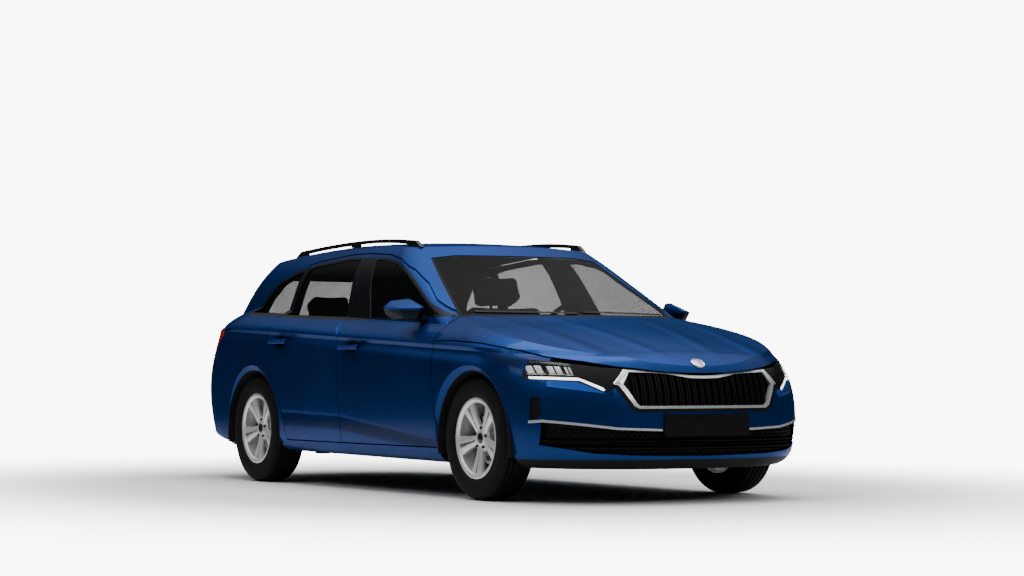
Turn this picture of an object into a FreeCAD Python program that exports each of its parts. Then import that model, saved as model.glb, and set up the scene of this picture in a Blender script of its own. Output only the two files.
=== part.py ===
"""Station wagon: body panels, glass, lamps, trim, cabin, running gear and wheels as separate pieces.

X points forward, Y to the car's left, Z up; the origin is on the ground at mid-length.
Lengths are millimetres, angles degrees. "Right" is the car's own right-hand side (negative Y).
"""
import FreeCAD
import Part
import Sketcher
import math
import os
from functools import lru_cache
from FreeCAD import Placement, Rotation, Vector

DOC = FreeCAD.newDocument("StationWagon")

SIZES = (
    ("car_length", 4690, "nose to tail"),
    ("car_width", 1829, "over the door skins"),
    ("roof_height", 1438, "ground to the crown of the roof panel"),
    ("belt_height", 965, "ground to the bottom of the side glass"),
    ("front_overhang", 892, "nose to front axle"),
    ("wheel_base", 2686, "axle to axle"),
    ("track", 1543, "wheel centre to wheel centre"),
    ("tyre_radius", 326, "outer radius of a tyre"),
    ("tyre_width", 205, "section width of a tyre"),
    ("rim_radius", 203, "bead seat radius of a rim"),
    ("rim_width", 168, "rim flange to rim flange"),
    ("spoke_count", 5, "pairs of spokes in a rim"),
    ("hub_radius", 75, "hub of a rim"),
    ("axle_radius", 28, "stub axle in the hub"),
    ("running_gap", 0.5, "stub axle to hub bore"),
    ("arch_clear", 46, "tyre to the opening of its arch"),
    ("arch_lip", 48, "opening to the outer edge of its chamfered lip"),
    ("arch_drop", 16, "arch centre below the axle"),
    ("arch_shift", 10, "arch centre ahead of the axle"),
    ("liner_wall", 6, "wheel arch liner"),
    ("front_well", 470, "centre plane to a front wheel well"),
    ("rear_well", 650, "centre plane to a rear wheel well"),
    ("shut_gap", 7, "round a door, bonnet or tailgate"),
    ("seam", 0.3, "between fixed pieces"),
    ("door_depth", 120, "door below the belt, skin to inner trim"),
    ("frame_depth", 42, "window frames and pillars"),
    ("skin_depth", 24, "wing, bonnet and bumper"),
    ("roof_depth", 32, "roof skin to headlining"),
    ("pillar_wall", 34, "inner pillar"),
    ("floor_height", 285, "ground to the cabin floor"),
    ("load_height", 560, "ground to the underside of the load floor"),
    ("load_wall", 20, "load floor and the wall behind the bench"),
    ("glass_wall", 5, "window glass"),
    ("glass_sink", 5, "glass below the face of its frame"),
    ("hinge_sink", 9, "door hinge axis inside the door's widest skin"),
    ("hinge_back", 33, "door hinge axis behind the door's leading edge"),
    ("dash_clear", 22, "dashboard's ends inside the doors' inner faces"),
    ("lens_wall", 4, "lamp lens"),
    ("lamp_depth", 62, "headlamp bucket behind the skin"),
    ("slat_count", 40, "upright slats of the upper grille"),
    ("slat_wall", 5, "one slat"),
    ("slat_depth", 26, "slat, front to back"),
    ("grille_sink", 8, "slats behind the bumper's skin"),
    ("plate_width", 524, "number plate"),
    ("plate_height", 112, "number plate"),
    ("plate_wall", 14, "number plate on its holder"),
    ("rail_rise", 34, "roof rail above the roof at its middle"),
    ("rail_width", 27, "roof rail"),
    ("rail_gap", 12, "daylight under a roof rail"),
    ("engine_length", 600, "engine and gearbox block"),
    ("engine_width", 780, "engine and gearbox block"),
    ("engine_height", 500, "engine and gearbox block"),
    ("kingpin_inset", 26, "steering axis inboard of the wheel centre"),
    ("seat_width", 500, "front seat cushion"),
    ("seat_spread", 370, "centre plane to the middle of a front seat"),
    ("wheel_rim", 180, "steering wheel radius"),
)

SHEET = DOC.addObject("Spreadsheet::Sheet", "Sizes")
for row, (alias, value, note) in enumerate(SIZES, 1):
    SHEET.set(f"A{row}", alias)
    SHEET.set(f"B{row}", str(value))
    SHEET.set(f"C{row}", note)
    SHEET.setAlias(f"B{row}", alias)
DOC.recompute()


def size(name):
    """A driving size, read back from the sheet."""
    return float(getattr(SHEET, name))


HALF_LENGTH = size("car_length") / 2
HALF_WIDTH = size("car_width") / 2
FRONT_AXLE = HALF_LENGTH - size("front_overhang")
REAR_AXLE = FRONT_AXLE - size("wheel_base")
HUB_HEIGHT = size("tyre_radius")
ARCH = HUB_HEIGHT + size("arch_clear")
BELT = size("belt_height")
FLOOR = size("floor_height")
GAP = size("shut_gap")
SEAM = size("seam")
DEPTH = size("door_depth")
FRAME = size("frame_depth")
SKIN = size("skin_depth")

# ------------------------------------------------------------------------------------------------
# Layout: stations, levels and half-widths of the drawn car, and where the present sizes put them
# ------------------------------------------------------------------------------------------------
BAY_FLOOR = 205
DRAWN_HALF, DRAWN_BELT, DRAWN_ROOF = 914.5, 965, 1438
# Lengths grow between the wheel arches and in the overhangs, never across an arch.
STATIONS = (
    (-2345, -HALF_LENGTH),
    (-1683, REAR_AXLE - 450),
    (-783, REAR_AXLE + 450),
    (1003, FRONT_AXLE - 450),
    (1903, FRONT_AXLE + 450),
    (2345, HALF_LENGTH),
)


def at(x):
    """Present x of a drawn station."""
    for (low, placed), (high, placed_high) in zip(STATIONS, STATIONS[1:]):
        if x <= high or high == STATIONS[-1][0]:
            return placed + (x - low) * (placed_high - placed) / (high - low)


def up(z):
    """Present height of a drawn level: the greenhouse grows with the roof."""
    if z <= DRAWN_BELT:
        return z * BELT / DRAWN_BELT
    return BELT + (z - DRAWN_BELT) * (size("roof_height") - BELT) / (DRAWN_ROOF - DRAWN_BELT)


def out(y):
    """Present half-width of a drawn half-width."""
    return y * HALF_WIDTH / DRAWN_HALF


# Lower body: height at mid-length, tilt, half-width, nose and tail set back, front and rear corner radius.
LEVELS = {
    "sill": ((194, 0.45, 800, 110, 130, 620, 600), (222, 0.45, 862, 45, 60, 620, 600),
             (268, 0.45, 886, 15, 30, 620, 600)),
    "flank": ((268, 0.45, 886, 15, 30, 620, 600), (420, 0.8, 905, 0, 0, 620, 600),
              (600, 1.4, 913.5, 10, 8, 650, 600), (750, 2.0, 914.5, 52, 80, 710, 610),
              (850, 2.66, 900, 112, 106, 760, 640)),
    "crease": ((850, 2.66, 900, 112, 106, 760, 640), (872, 2.66, 908, 128, 150, 800, 690)),
    "shoulder": ((872, 2.66, 908, 128, 150, 800, 690), (915, 2.66, 885, 186, 205, 800, 700),
                 (955, 2.66, 838, 246, 265, 790, 700), (1080, 2.66, 650, 400, 420, 620, 610)),
}
# Greenhouse: height, half-width, front and rear end, radii of the front, its corners and the rear corners.
GREENHOUSE = (
    (930, 814, 1232, -2200, 1750, 165, 430),
    (1150, 744, 822, -2050, 1600, 155, 500),
    (1330, 655, 500, -1905, 1400, 130, 520),
    (1385, 606, 410, -1840, 1300, 120, 500),
    (1450, 520, 300, -1760, 1200, 110, 450),
)
# Side profiles, as runs of arcs from tail to nose.
BONNET_PROFILE = (((-2600, 1500), (-700, 1290), (1000, 1012)), ((1000, 1012), (1600, 912), (2100, 784)),
                  ((2100, 784), (2250, 718), (2400, 540)))
ROOF_PROFILE = (((-2400, 1282), (-1500, 1386), (-450, 1438)), ((-450, 1438), (0, 1430), (500, 1380)),
                ((500, 1380), (900, 1215), (1500, 850)))
BONNET_CROWN, ROOF_CROWN = 8000, 6500

# Side outlines, as (station, height) on the skin.
FRONT_DOOR = [(1102, 268), (1057, 728), (1063, 820), (1040, 936), (-90, 936), (-44, 841), (-29, 403),
              (-29, 268)]
REAR_DOOR = [(-29, 268), (-29, 403), (-44, 841), (-90, 936), (-990, 960), (-1000, 860), (-965, 700),
             (-880, 560), (-800, 440), (-760, 268)]
FRONT_FRAME = [(1040, 922), (972, 952), (954, 984), (771, 1070), (604, 1166), (453, 1246), (279, 1314),
               (110, 1346), (-190, 1364), (-120, 1139), (-86, 922)]
REAR_FRAME = [(-86, 922), (-120, 1139), (-190, 1364), (-401, 1364), (-799, 1339), (-950, 1320),
              (-972, 1130), (-990, 946)]
FRONT_WINDOW = [(898, 984), (771, 1040), (604, 1134), (453, 1214), (279, 1282), (110, 1313),
                (-28, 1320), (45, 1150), (140, 980)]
REAR_WINDOW = [(-165, 990), (-190, 1139), (-235, 1330), (-401, 1332), (-799, 1306), (-905, 1291),
               (-926, 1130), (-938, 1016)]
QUARTER_WINDOW = [(-1000, 1022), (-985, 1130), (-966, 1284), (-1077, 1266), (-1272, 1206),
                  (-1395, 1112), (-1446, 1042)]
BONNET_SIDE = [(1052, 840), (1280, 838), (1542, 822), (1796, 784), (1932, 752), (2100, 724), (2200, 698),
               (2240, 688), (2306, 658), (2420, 658), (2420, 1300), (1000, 1300), (1000, 860)]
BUMPER_SIDE = [(1964, 765), (2016, 624), (2040, 552), (1700, 530), (1700, 120), (2500, 120), (2500, 1000),
               (1964, 1000)]
REAR_BUMPER_SIDE = [(-1560, 120), (-1600, 420), (-1640, 560), (-1900, 585), (-2500, 585), (-2500, 120)]
REAR_UNDERCUT = [(-1590, 100), (-1660, 238), (-2060, 322), (-2500, 350), (-2500, 100)]
TAIL_LAMP = [(-1671, 914), (-1688, 938), (-1803, 930), (-2400, 930), (-2400, 706), (-1905, 706), (-1840, 796),
             (-1753, 857)]
WING_SIDE = [(1080, 268), (1060, 728), (1063, 845), (1052, 1000), (2100, 1000), (2100, 268)]
B_PILLAR = [(-85, 285), (25, 285), (10, 840), (-70, 960), (-150, 1376), (-240, 1376), (-150, 960),
            (-125, 840)]
DASH_SIDE = [(1034.7, 560), (700, 590), (585, 690), (575, 760), (640, 850), (760, 905), (1034.7, 925)]

# Front-view outlines, as (half-width, height) of one side or of both.
WINDSCREEN = [(-702, 976), (-548, 1318), (-400, 1336), (400, 1336), (548, 1318), (702, 976)]
REAR_SCREEN = [(-548, 985), (-526, 1262), (526, 1262), (548, 985)]
TAILGATE = [(-560, 585), (-600, 700), (-622, 930), (-622, 1272), (-1000, 1272), (-1000, 1600), (1000, 1600),
            (1000, 1272), (622, 1272), (622, 930), (600, 700), (560, 585)]
GRILLE_FRAME = [(0, 654), (88, 656), (226, 678), (440, 688), (508, 612), (484, 605), (420, 502), (394, 487)]
GRILLE_HOLE = [(0, 640), (84, 642), (222, 664), (418, 674), (462, 611), (402, 512), (386, 501)]
GRILLE_RECESS = [(0, 654), (88, 656), (226, 678), (440, 688), (508, 612), (500, 590), (436, 486), (404, 470)]
HEADLAMP = [(-912, 753), (-878, 640), (-654, 621), (-556, 569), (-500, 590), (-508, 612), (-440, 688),
            (-541, 697), (-717, 724)]
INTAKE = [(0, 370), (260, 372), (502, 380), (689, 405), (800, 418), (800, 302), (604, 262), (400, 250),
          (0, 244)]
SIDE_VENT = [(-850, 540), (-798, 544), (-796, 456), (-812, 430), (-850, 418)]
TRIM_STRIP = [(-846, 424), (-800, 432), (-689, 418), (-502, 393), (-270, 384), (-270, 373), (-502, 381),
              (-689, 405), (-800, 418), (-846, 411)]

# Plan outlines, as (station, half-width).
BONNET_REAR = [(1052, 1000), (1052, 760), (1066, 650), (1116, 450), (1156, 250), (1174, 0)]
RAIL_PLAN = ((310, 546), (-450, 562), (-1300, 546))
SPOILER_PLAN = [(-1702, 560), (-1918, 548), (-1958, 400), (-1966, 0)]

UPPER_SKEW, LOWER_SKEW = 0.38, 0.17
UPPER_PIVOT, LOWER_PIVOT = 740, 900


def unit(vector):
    return vector / vector.Length


def fillet_centre(c1, r1, c2, r2, r, pick):
    """Centre of the circle of radius r that touches two larger circles from inside."""
    d1, d2 = r1 - r, r2 - r
    across = c2 - c1
    along = (d1 * d1 - d2 * d2 + across.Length ** 2) / (2 * across.Length)
    height = math.sqrt(max(d1 * d1 - along * along, 0))
    u = unit(across)
    n = Vector(-u.y, u.x, 0)
    return max((c1 + u * along + n * height, c1 + u * along - n * height), key=pick)


def outline(z, tilt, half, nose, tail, r_nose, r_tail, r_front, r_rear, front_corner, rear_corner):
    """Plan outline of ten tangent arcs, symmetrical about X, in a plane tilted about Y."""
    c_nose, c_tail = Vector(nose - r_nose, 0, 0), Vector(tail + r_tail, 0, 0)
    c_front, c_rear = Vector(0, half - r_front, 0), Vector(0, half - r_rear, 0)
    k_front = fillet_centre(c_nose, r_nose, c_front, r_front, front_corner, lambda p: p.x + p.y)
    k_rear = fillet_centre(c_tail, r_tail, c_rear, r_rear, rear_corner, lambda p: -p.x + p.y)
    a = c_nose + unit(k_front - c_nose) * r_nose
    b = c_front + unit(k_front - c_front) * r_front
    c = Vector(0, half, 0)
    d = c_rear + unit(k_rear - c_rear) * r_rear
    e = c_tail + unit(k_rear - c_tail) * r_tail

    def mid(centre, radius, p, q):
        return centre + unit((p - centre) + (q - centre)) * radius

    def flip(p):
        return Vector(p.x, -p.y, 0)

    left = ((a, mid(k_front, front_corner, a, b), b), (b, mid(c_front, r_front, b, c), c),
            (c, mid(c_rear, r_rear, c, d), d), (d, mid(k_rear, rear_corner, d, e), e))
    arcs = [(flip(a), Vector(nose, 0, 0), a), *left, (e, Vector(tail, 0, 0), flip(e))]
    arcs += [tuple(flip(p) for p in reversed(arc)) for arc in reversed(left)]
    wire = Part.Wire([Part.Arc(*arc).toShape() for arc in arcs])
    wire.Placement = Placement(Vector(0, 0, z), Rotation(Vector(0, 1, 0), tilt))
    return wire


@lru_cache(None)
def lower_body(inset):
    """Solid of the body below the belt, with every side moved in by inset."""
    faces = []
    for rows in LEVELS.values():
        wires = [outline(up(z), tilt, out(half) - inset, HALF_LENGTH - nose - inset,
                         -HALF_LENGTH + tail + inset, 1920 - inset, 2600 - inset, 80000 - inset,
                         60000 - inset, front_corner - inset, rear_corner - inset)
                 for z, tilt, half, nose, tail, front_corner, rear_corner in rows]
        faces += Part.makeLoft(wires, False, len(rows) == 2).Faces
        if rows is LEVELS["sill"]:
            faces.append(Part.Face(wires[0]))
    faces.append(Part.Face(wires[-1]))
    shell = Part.Shell(faces)
    shell.sewShape()
    return Part.Solid(shell)


@lru_cache(None)
def greenhouse(inset):
    """Solid of the body above the belt, with every side moved in by inset."""
    wires = [outline(up(z), 0, out(half) - inset, at(front) - inset, at(rear) + inset, r_nose - inset,
                     3000 - inset, 30000 - inset, 25000 - inset, front_corner - inset, rear_corner - inset)
             for z, half, front, rear, r_nose, front_corner, rear_corner in GREENHOUSE]
    return Part.makeLoft(wires, True, False)


def crowned(profile, radius, drop):
    """Solid under a side profile of arcs turned about a far axis along X; drop lowers it."""
    edges = [Part.Arc(*(Vector(at(x), 0, up(z) - drop) for x, z in arc)).toShape() for arc in profile]
    first, last = edges[0].Vertexes[0].Point, edges[-1].Vertexes[-1].Point
    corners = [last, Vector(last.x, 0, -200), Vector(first.x, 0, -200), first]
    edges += [Part.makeLine(p, q) for p, q in zip(corners, corners[1:])]
    face = Part.Face(Part.Wire(edges))
    axis = Vector(0, 0, up(max(z for arc in profile for _, z in arc)) - radius)
    half_angle = math.degrees(1050 / radius)
    face.rotate(axis, Vector(1, 0, 0), -half_angle)
    return face.revolve(axis, Vector(1, 0, 0), 2 * half_angle)


def bonnet_cap(drop):
    return crowned(BONNET_PROFILE, BONNET_CROWN, drop)


@lru_cache(None)
def roof_cap(drop):
    return crowned(ROOF_PROFILE, ROOF_CROWN, drop)


# ------------------------------------------------------------------------------------------------
# Tools: boxes, extruded outlines and solids of both sides
# ------------------------------------------------------------------------------------------------
def slab(x0, x1, y0, y1, z0, z1):
    """Box between two corners."""
    return Part.makeBox(x1 - x0, y1 - y0, z1 - z0, Vector(x0, y0, z0))


def grown(points, margin):
    """Polygon with every side moved out by margin (inwards when negative)."""
    area = sum(a[0] * b[1] - b[0] * a[1] for a, b in zip(points, points[1:] + points[:1]))
    sign = 1 if area > 0 else -1
    moved = []
    for i, p in enumerate(points):
        a, b = points[i - 1], points[(i + 1) % len(points)]
        u = unit(Vector(p[0] - a[0], p[1] - a[1], 0))
        v = unit(Vector(b[0] - p[0], b[1] - p[1], 0))
        n, m = Vector(u.y, -u.x, 0) * sign, Vector(v.y, -v.x, 0) * sign
        scale = margin / (1 + n.dot(m))
        moved.append((p[0] + (n.x + m.x) * scale, p[1] + (n.y + m.y) * scale))
    return moved


def extruded(corners, path):
    return Part.Face(Part.makePolygon(corners + corners[:1])).extrude(path)


def side_view(points, margin=0.0, low=-1000, high=1000):
    """Side outline extruded along Y."""
    placed = grown([(at(x), up(z)) for x, z in points], margin)
    return extruded([Vector(x, low, z) for x, z in placed], Vector(0, high - low, 0))


def front_view(points, margin, low, high):
    """Front outline extruded along X between two stations."""
    placed = grown([(out(y), up(z)) for y, z in points], margin)
    return extruded([Vector(at(low), y, z) for y, z in placed], Vector(at(high) - at(low), 0, 0))


def plan_view(points, margin, low, high):
    """Plan outline extruded along Z."""
    placed = grown([(at(x), out(y)) for x, y in points], margin)
    return extruded([Vector(x, y, low) for x, y in placed], Vector(0, 0, high - low))


def doubled(half):
    """Outline of both sides from the points of one side, whose first point is on the centre plane."""
    return half + [(-y, z) for y, z in reversed(half) if y]


def glass_half(z):
    """Half-width of the greenhouse at a drawn height."""
    rows = [(row[0], row[1]) for row in GREENHOUSE]
    for (low, half), (high, next_half) in zip(rows, rows[1:]):
        if z <= high:
            return half + (z - low) * (next_half - half) / (high - low)
    return rows[-1][1]


def upper_zone(points, margin=0.0):
    """Right-hand window or frame outline, whose end faces lean back towards the skin."""
    placed = [(at(x) - UPPER_SKEW * (out(UPPER_PIVOT) - out(glass_half(z))), up(z)) for x, z in points]
    low, high = -out(950), -out(450)
    shift = UPPER_SKEW * (low + out(UPPER_PIVOT))
    corners = [Vector(x + shift, low, z) for x, z in grown(placed, margin)]
    return extruded(corners, Vector(UPPER_SKEW * (high - low), high - low, 0))


def lower_zone(points, margin=0.0):
    """Right-hand door outline below the belt, whose end faces lean back towards the skin."""
    placed = grown([(at(x), up(z)) for x, z in points], margin)
    low, high = -out(950), -out(650)
    shift = LOWER_SKEW * (low + out(LOWER_PIVOT))
    corners = [Vector(x + shift, low, z) for x, z in placed]
    return extruded(corners, Vector(LOWER_SKEW * (high - low), high - low, 0))


def mirrored(shape):
    return shape.mirror(Vector(0, 0, 0), Vector(0, 1, 0))


def solids(shape, least=2000.0):
    """The solids of a shape, without slivers under least cubic millimetres."""
    return [solid for solid in shape.Solids if solid.Volume > least]


def largest(shape):
    return max(shape.Solids, key=lambda solid: solid.Volume)


def both(shape):
    """A right-hand shape and its left-hand twin."""
    return Part.makeCompound(solids(shape) + solids(mirrored(shape)))


def united(shape):
    """A right-hand tool and its left-hand twin as one tool."""
    return shape.fuse(mirrored(shape))


def right_half(shape):
    return shape.common(slab(-3000, 3000, -1200, 0, -100, 2000))


def placed_piece(label, shape):
    """Document object for a piece whose form comes from the body's curved surfaces."""
    found = solids(shape)
    if not found:
        raise RuntimeError(f"{label} has no solid")
    piece = DOC.addObject("Part::Feature", label)
    piece.Shape = found[0] if len(found) == 1 else Part.makeCompound(found)
    piece.Label = label
    return piece


# ------------------------------------------------------------------------------------------------
# Body shell: outer solid less cabin, engine bay and wheel wells
# ------------------------------------------------------------------------------------------------
def well(axle, inner):
    """Right-hand wheel well: opening, chamfered lip and the space down to the ground."""
    centre = Vector(axle + size("arch_shift"), -1000, HUB_HEIGHT - size("arch_drop"))
    radius, flare = ARCH, ARCH + size("arch_lip")
    barrel = Part.makeCylinder(radius, 1000 - inner, centre, Vector(0, 1, 0))
    foot = slab(centre.x - radius * 0.985, centre.x + radius * 0.985, -1000, -inner, -50, centre.z - 60)
    slope = (flare - radius) / 30
    lip = Part.makeCone(flare + 40 * slope, radius, 70, Vector(centre.x, -HALF_WIDTH - 40, centre.z),
                        Vector(0, 1, 0))
    return barrel.fuse([foot, lip])


def cabin_void():
    low = lower_body(DEPTH).common(slab(at(-2300), at(1035), -1000, 1000, FLOOR, 1075))
    return [low, greenhouse(FRAME).common(roof_cap(size("roof_depth")))]


def engine_void():
    bay = lower_body(SKIN).common(bonnet_cap(SKIN + 4))
    return [bay.common(slab(at(1225), at(2345), -1000, 1000, BAY_FLOOR, 1075)),
            bay.common(slab(at(1075), at(1225), -1000, 1000, BAY_FLOOR, 880))]


OUTER = lower_body(0).common(bonnet_cap(0)).fuse(greenhouse(0).common(roof_cap(0)))
FRONT_WELL, REAR_WELL = well(FRONT_AXLE, size("front_well")), well(REAR_AXLE, size("rear_well"))
WELLS = [FRONT_WELL, REAR_WELL, mirrored(FRONT_WELL), mirrored(REAR_WELL)]
SHELL = OUTER.cut(cabin_void() + engine_void() + WELLS + [side_view(REAR_UNDERCUT)])


class Splitter:
    """Takes panels out of a shell one after another and keeps what is left."""

    def __init__(self, shell):
        self.left = shell

    def take(self, zone, gap):
        """Panel inside zone(-gap / 2); the rest stays outside zone(gap / 2)."""
        panel = self.left.common(zone(-gap / 2))
        self.left = self.left.cut(zone(gap / 2))
        return panel


def door_zone(low, frame):
    def zone(margin):
        return united(upper_zone(frame, margin).fuse(lower_zone(low, margin)))
    return zone


def tailgate_zone(margin):
    return front_view(TAILGATE, margin, -2600, -1500).common(
        slab(-4000, at(-1700) + margin, -1100, 1100, 0, 2000))


def bonnet_zone(margin):
    rear = BONNET_REAR + [(x, -y) for x, y in reversed(BONNET_REAR) if y]
    plan = plan_view(rear + [(2500, -1000), (2500, 1000)], margin, 400, 1400)
    return side_view(BONNET_SIDE, margin).common(plan)


def headlamp_zone(margin):
    return united(front_view(HEADLAMP, margin, 1880, 2450))


def roof_zone(margin):
    return slab(at(-1695), at(640), -out(548) - margin, out(548) + margin, up(1240), 1800)


def side_zone(points):
    def zone(margin):
        return side_view(points, margin)
    return zone


def bulkhead_zone(margin):
    return slab(at(1034), at(1240), -out(735) - margin, out(735) + margin, FLOOR + 15 - margin, 1100)


def underbody_zone(margin):
    return slab(at(-1700), at(1790), -out(735) - margin, out(735) + margin, 0, FLOOR + 15 + margin)


BODY = Splitter(SHELL.cut(front_view(WINDSCREEN, 0, 150, 1500)))
TAILGATE_PANEL = BODY.take(tailgate_zone, GAP)
BONNET_PANEL = BODY.take(bonnet_zone, GAP)
DOOR_PANELS = {"front": BODY.take(door_zone(FRONT_DOOR, FRONT_FRAME), GAP),
               "rear": BODY.take(door_zone(REAR_DOOR, REAR_FRAME), GAP)}
HEADLAMP_PANEL = BODY.take(headlamp_zone, SEAM)
TAIL_LAMP_PANEL = BODY.take(side_zone(TAIL_LAMP), SEAM)
ROOF_PANEL = BODY.take(roof_zone, SEAM)
BUMPER_PANEL = BODY.take(side_zone(BUMPER_SIDE), SEAM)
REAR_BUMPER_PANEL = BODY.take(side_zone(REAR_BUMPER_SIDE), SEAM)
BULKHEAD_PANEL = BODY.take(bulkhead_zone, SEAM)
UNDERBODY_PANEL = BODY.take(underbody_zone, SEAM)
WING_PANEL = BODY.take(side_zone(WING_SIDE), SEAM)
SIDE_PANEL = BODY.left

# ------------------------------------------------------------------------------------------------
# Doors and glass
# ------------------------------------------------------------------------------------------------
DOOR_HINGES = {"front": (at(1057) - GAP / 2 - size("hinge_back"), out(908) - size("hinge_sink")),
               "rear": (at(-29) - GAP / 2 - size("hinge_back"), HALF_WIDTH - size("hinge_sink"))}
HANDLES = {"front": (at(122), up(812)), "rear": (at(-806), up(854))}
HANDLE_LENGTH, HANDLE_HEIGHT = 236, 28


def swing_corner(end):
    """What the inner front corner of a right-hand door leaves free to swing past its pillar."""
    x, y = DOOR_HINGES[end]
    corner = slab(x, x + 200, -1000, -500, 200, 1000)
    return corner.cut(Part.makeCylinder(DEPTH + 2, 900, Vector(x, -y, 150)))


def swing_heel():
    """What the floor lip of a rear right-hand door leaves free behind it, to swing over the sill."""
    x, y = DOOR_HINGES["rear"]
    heel = slab(x - 900, x - 500, -out(800), -500, 200, FLOOR)
    return heel.cut(Part.makeCylinder(x - at(-760) - GAP, 200, Vector(x, -y, 150)))


def rounded_box(x0, x1, y0, y1, z0, z1, radius):
    box = slab(x0, x1, y0, y1, z0, z1)
    return box.makeFillet(radius, box.Edges)


def handle(x, z):
    """Pull handle bridging a hand recess."""
    half, tall = HANDLE_LENGTH / 2, HANDLE_HEIGHT / 2
    grip = rounded_box(x - half, x + half, -out(938), -out(920), z - tall, z + tall, 8)
    feet = [slab(x + s * (half - 28) - 18, x + s * (half - 28) + 18, -out(930), -out(870), z - 9, z + 9)
            for s in (-1, 1)]
    return grip.fuse(feet)


def hand_recess(x, z):
    return Part.makeCylinder(66, 52, Vector(x, -out(962), z - 28))


def pane(zone):
    """Glass of the greenhouse inside a zone."""
    sink = size("glass_sink")
    return greenhouse(sink).cut(greenhouse(sink + size("glass_wall"))).common(zone)


def door(end, window):
    """Right-hand door with its window cut and its pull handle fused on."""
    x, z = HANDLES[end]
    swings = [swing_corner(end)] if end == "front" else [swing_corner(end), swing_heel()]
    leaf = largest(right_half(DOOR_PANELS[end]).cut([upper_zone(window), *swings]))
    return largest(leaf.cut(hand_recess(x, z)).fuse(handle(x, z).cut(lower_body(30))))


def pair(label, shape):
    """Right-hand piece and its left-hand twin as two nodes."""
    placed_piece(f"{label}_right", shape)
    placed_piece(f"{label}_left", mirrored(shape))


for end, window in (("front", FRONT_WINDOW), ("rear", REAR_WINDOW)):
    pair(f"door_{end}", door(end, window))
    pair(f"window_{end}", pane(upper_zone(window, -SEAM)))

QUARTER_HOLE = upper_zone(QUARTER_WINDOW)
placed_piece("quarter_windows", both(pane(upper_zone(QUARTER_WINDOW, -SEAM))))
placed_piece("body_sides", SIDE_PANEL.cut([QUARTER_HOLE, mirrored(QUARTER_HOLE)]))
placed_piece("windscreen", pane(front_view(WINDSCREEN, -SEAM, 150, 1500)))
placed_piece("tailgate_window", pane(front_view(REAR_SCREEN, -SEAM, -2600, -1760)))

# ------------------------------------------------------------------------------------------------
# Tailgate with spoiler and plate recess, lamps, bonnet, roof and lower structure
# ------------------------------------------------------------------------------------------------
LAMP_SPLIT = out(430)
PLATE_SHELF = at(-2262)
PLATE_HALF, PLATE_TALL = size("plate_width") / 2, size("plate_height")
REAR_PLATE_LOW = up(662)
SPOILER_DEPTH = 34

spoiler = plan_view(doubled(SPOILER_PLAN[::-1]), 0, 900, 1700).common(roof_cap(0)).cut(
    roof_cap(SPOILER_DEPTH))
tail = TAILGATE_PANEL.fuse(spoiler.common(tailgate_zone(-GAP / 2)))
lamp_slot = side_view(TAIL_LAMP, SEAM / 2).cut(
    slab(-3000, 0, -LAMP_SPLIT + SEAM, LAMP_SPLIT - SEAM, 0, 2000))
plate_recess = slab(-3000, PLATE_SHELF, -PLATE_HALF - 24, PLATE_HALF + 24, REAR_PLATE_LOW - 10,
                    REAR_PLATE_LOW + PLATE_TALL + 16)
placed_piece("tailgate", largest(tail.cut(
    [front_view(REAR_SCREEN, 0, -2600, -1760), lamp_slot, plate_recess])))
placed_piece("tailgate_lamps", TAILGATE_PANEL.common(side_view(TAIL_LAMP, -SEAM / 2)).cut(
    slab(-3000, 0, -LAMP_SPLIT, LAMP_SPLIT, 0, 2000)))
placed_piece("tail_lamps", TAIL_LAMP_PANEL)
placed_piece("bonnet", BONNET_PANEL)
placed_piece("roof_panel", ROOF_PANEL)
placed_piece("front_wings", WING_PANEL)
placed_piece("bulkhead", BULKHEAD_PANEL)

JACK_PADS = [slab(at(x) - 45, at(x) + 45, y - 30, y + 30, 184, 230) for x in (880, -660) for y in (-690, 690)]
placed_piece("underbody", UNDERBODY_PANEL.fuse(JACK_PADS))

# ------------------------------------------------------------------------------------------------
# Bumpers, grilles, headlamps and bright trim
# ------------------------------------------------------------------------------------------------
NOSE = at(2345)
PLATE_FACE, PLATE_LOW = NOSE - 4, 346
PLATE_BACK = PLATE_FACE - size("plate_wall")
SPLITTER_TOP = 228


@lru_cache(None)
def nose(inset):
    """Front end of the lower body, its skin moved in by inset."""
    return lower_body(inset).common(slab(at(1860), NOSE + 100, -1000, 1000, 100, 1000))


def layer(top, bottom, zone):
    """Skin of the nose between two depths, inside a zone."""
    return nose(top).common(zone).cut(nose(bottom))


def nose_zone(points, margin=0.0, low=1950):
    """Symmetric front-view outline over the nose."""
    return front_view(doubled(points), margin, low, 2500)


plate_pocket = slab(PLATE_BACK - SEAM, NOSE + 100, -PLATE_HALF - SEAM, PLATE_HALF + SEAM, PLATE_LOW - SEAM,
                    PLATE_LOW + PLATE_TALL + SEAM)
strip_zone = united(front_view(TRIM_STRIP, 0, 1950, 2500))
strip_slot = united(front_view(TRIM_STRIP, SEAM, 1950, 2500)).cut(nose(8 + SEAM))
vent_zone = united(front_view(SIDE_VENT, 0, 1950, 2500))
under_nose = slab(at(1700), NOSE + 100, -1000, 1000, 0, SPLITTER_TOP)
under_tail = slab(at(-2500), at(-1500), -out(560), out(560), 0, 430)
shift = Vector(0, 0, SEAM)
placed_piece("front_bumper", largest(BUMPER_PANEL.cut([
    nose_zone(GRILLE_RECESS, 0, 2050), nose_zone(INTAKE), plate_pocket, strip_slot,
    united(front_view(SIDE_VENT, SEAM, 1950, 2500)), under_nose.translated(shift)])))
placed_piece("rear_bumper", largest(REAR_BUMPER_PANEL.cut(
    slab(at(-2500), at(-1500), -out(560) - SEAM, out(560) + SEAM, 0, 430 + SEAM))))
splitter = BUMPER_PANEL.common(under_nose)
corner_fins = layer(8, SKIN, vent_zone)
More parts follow.
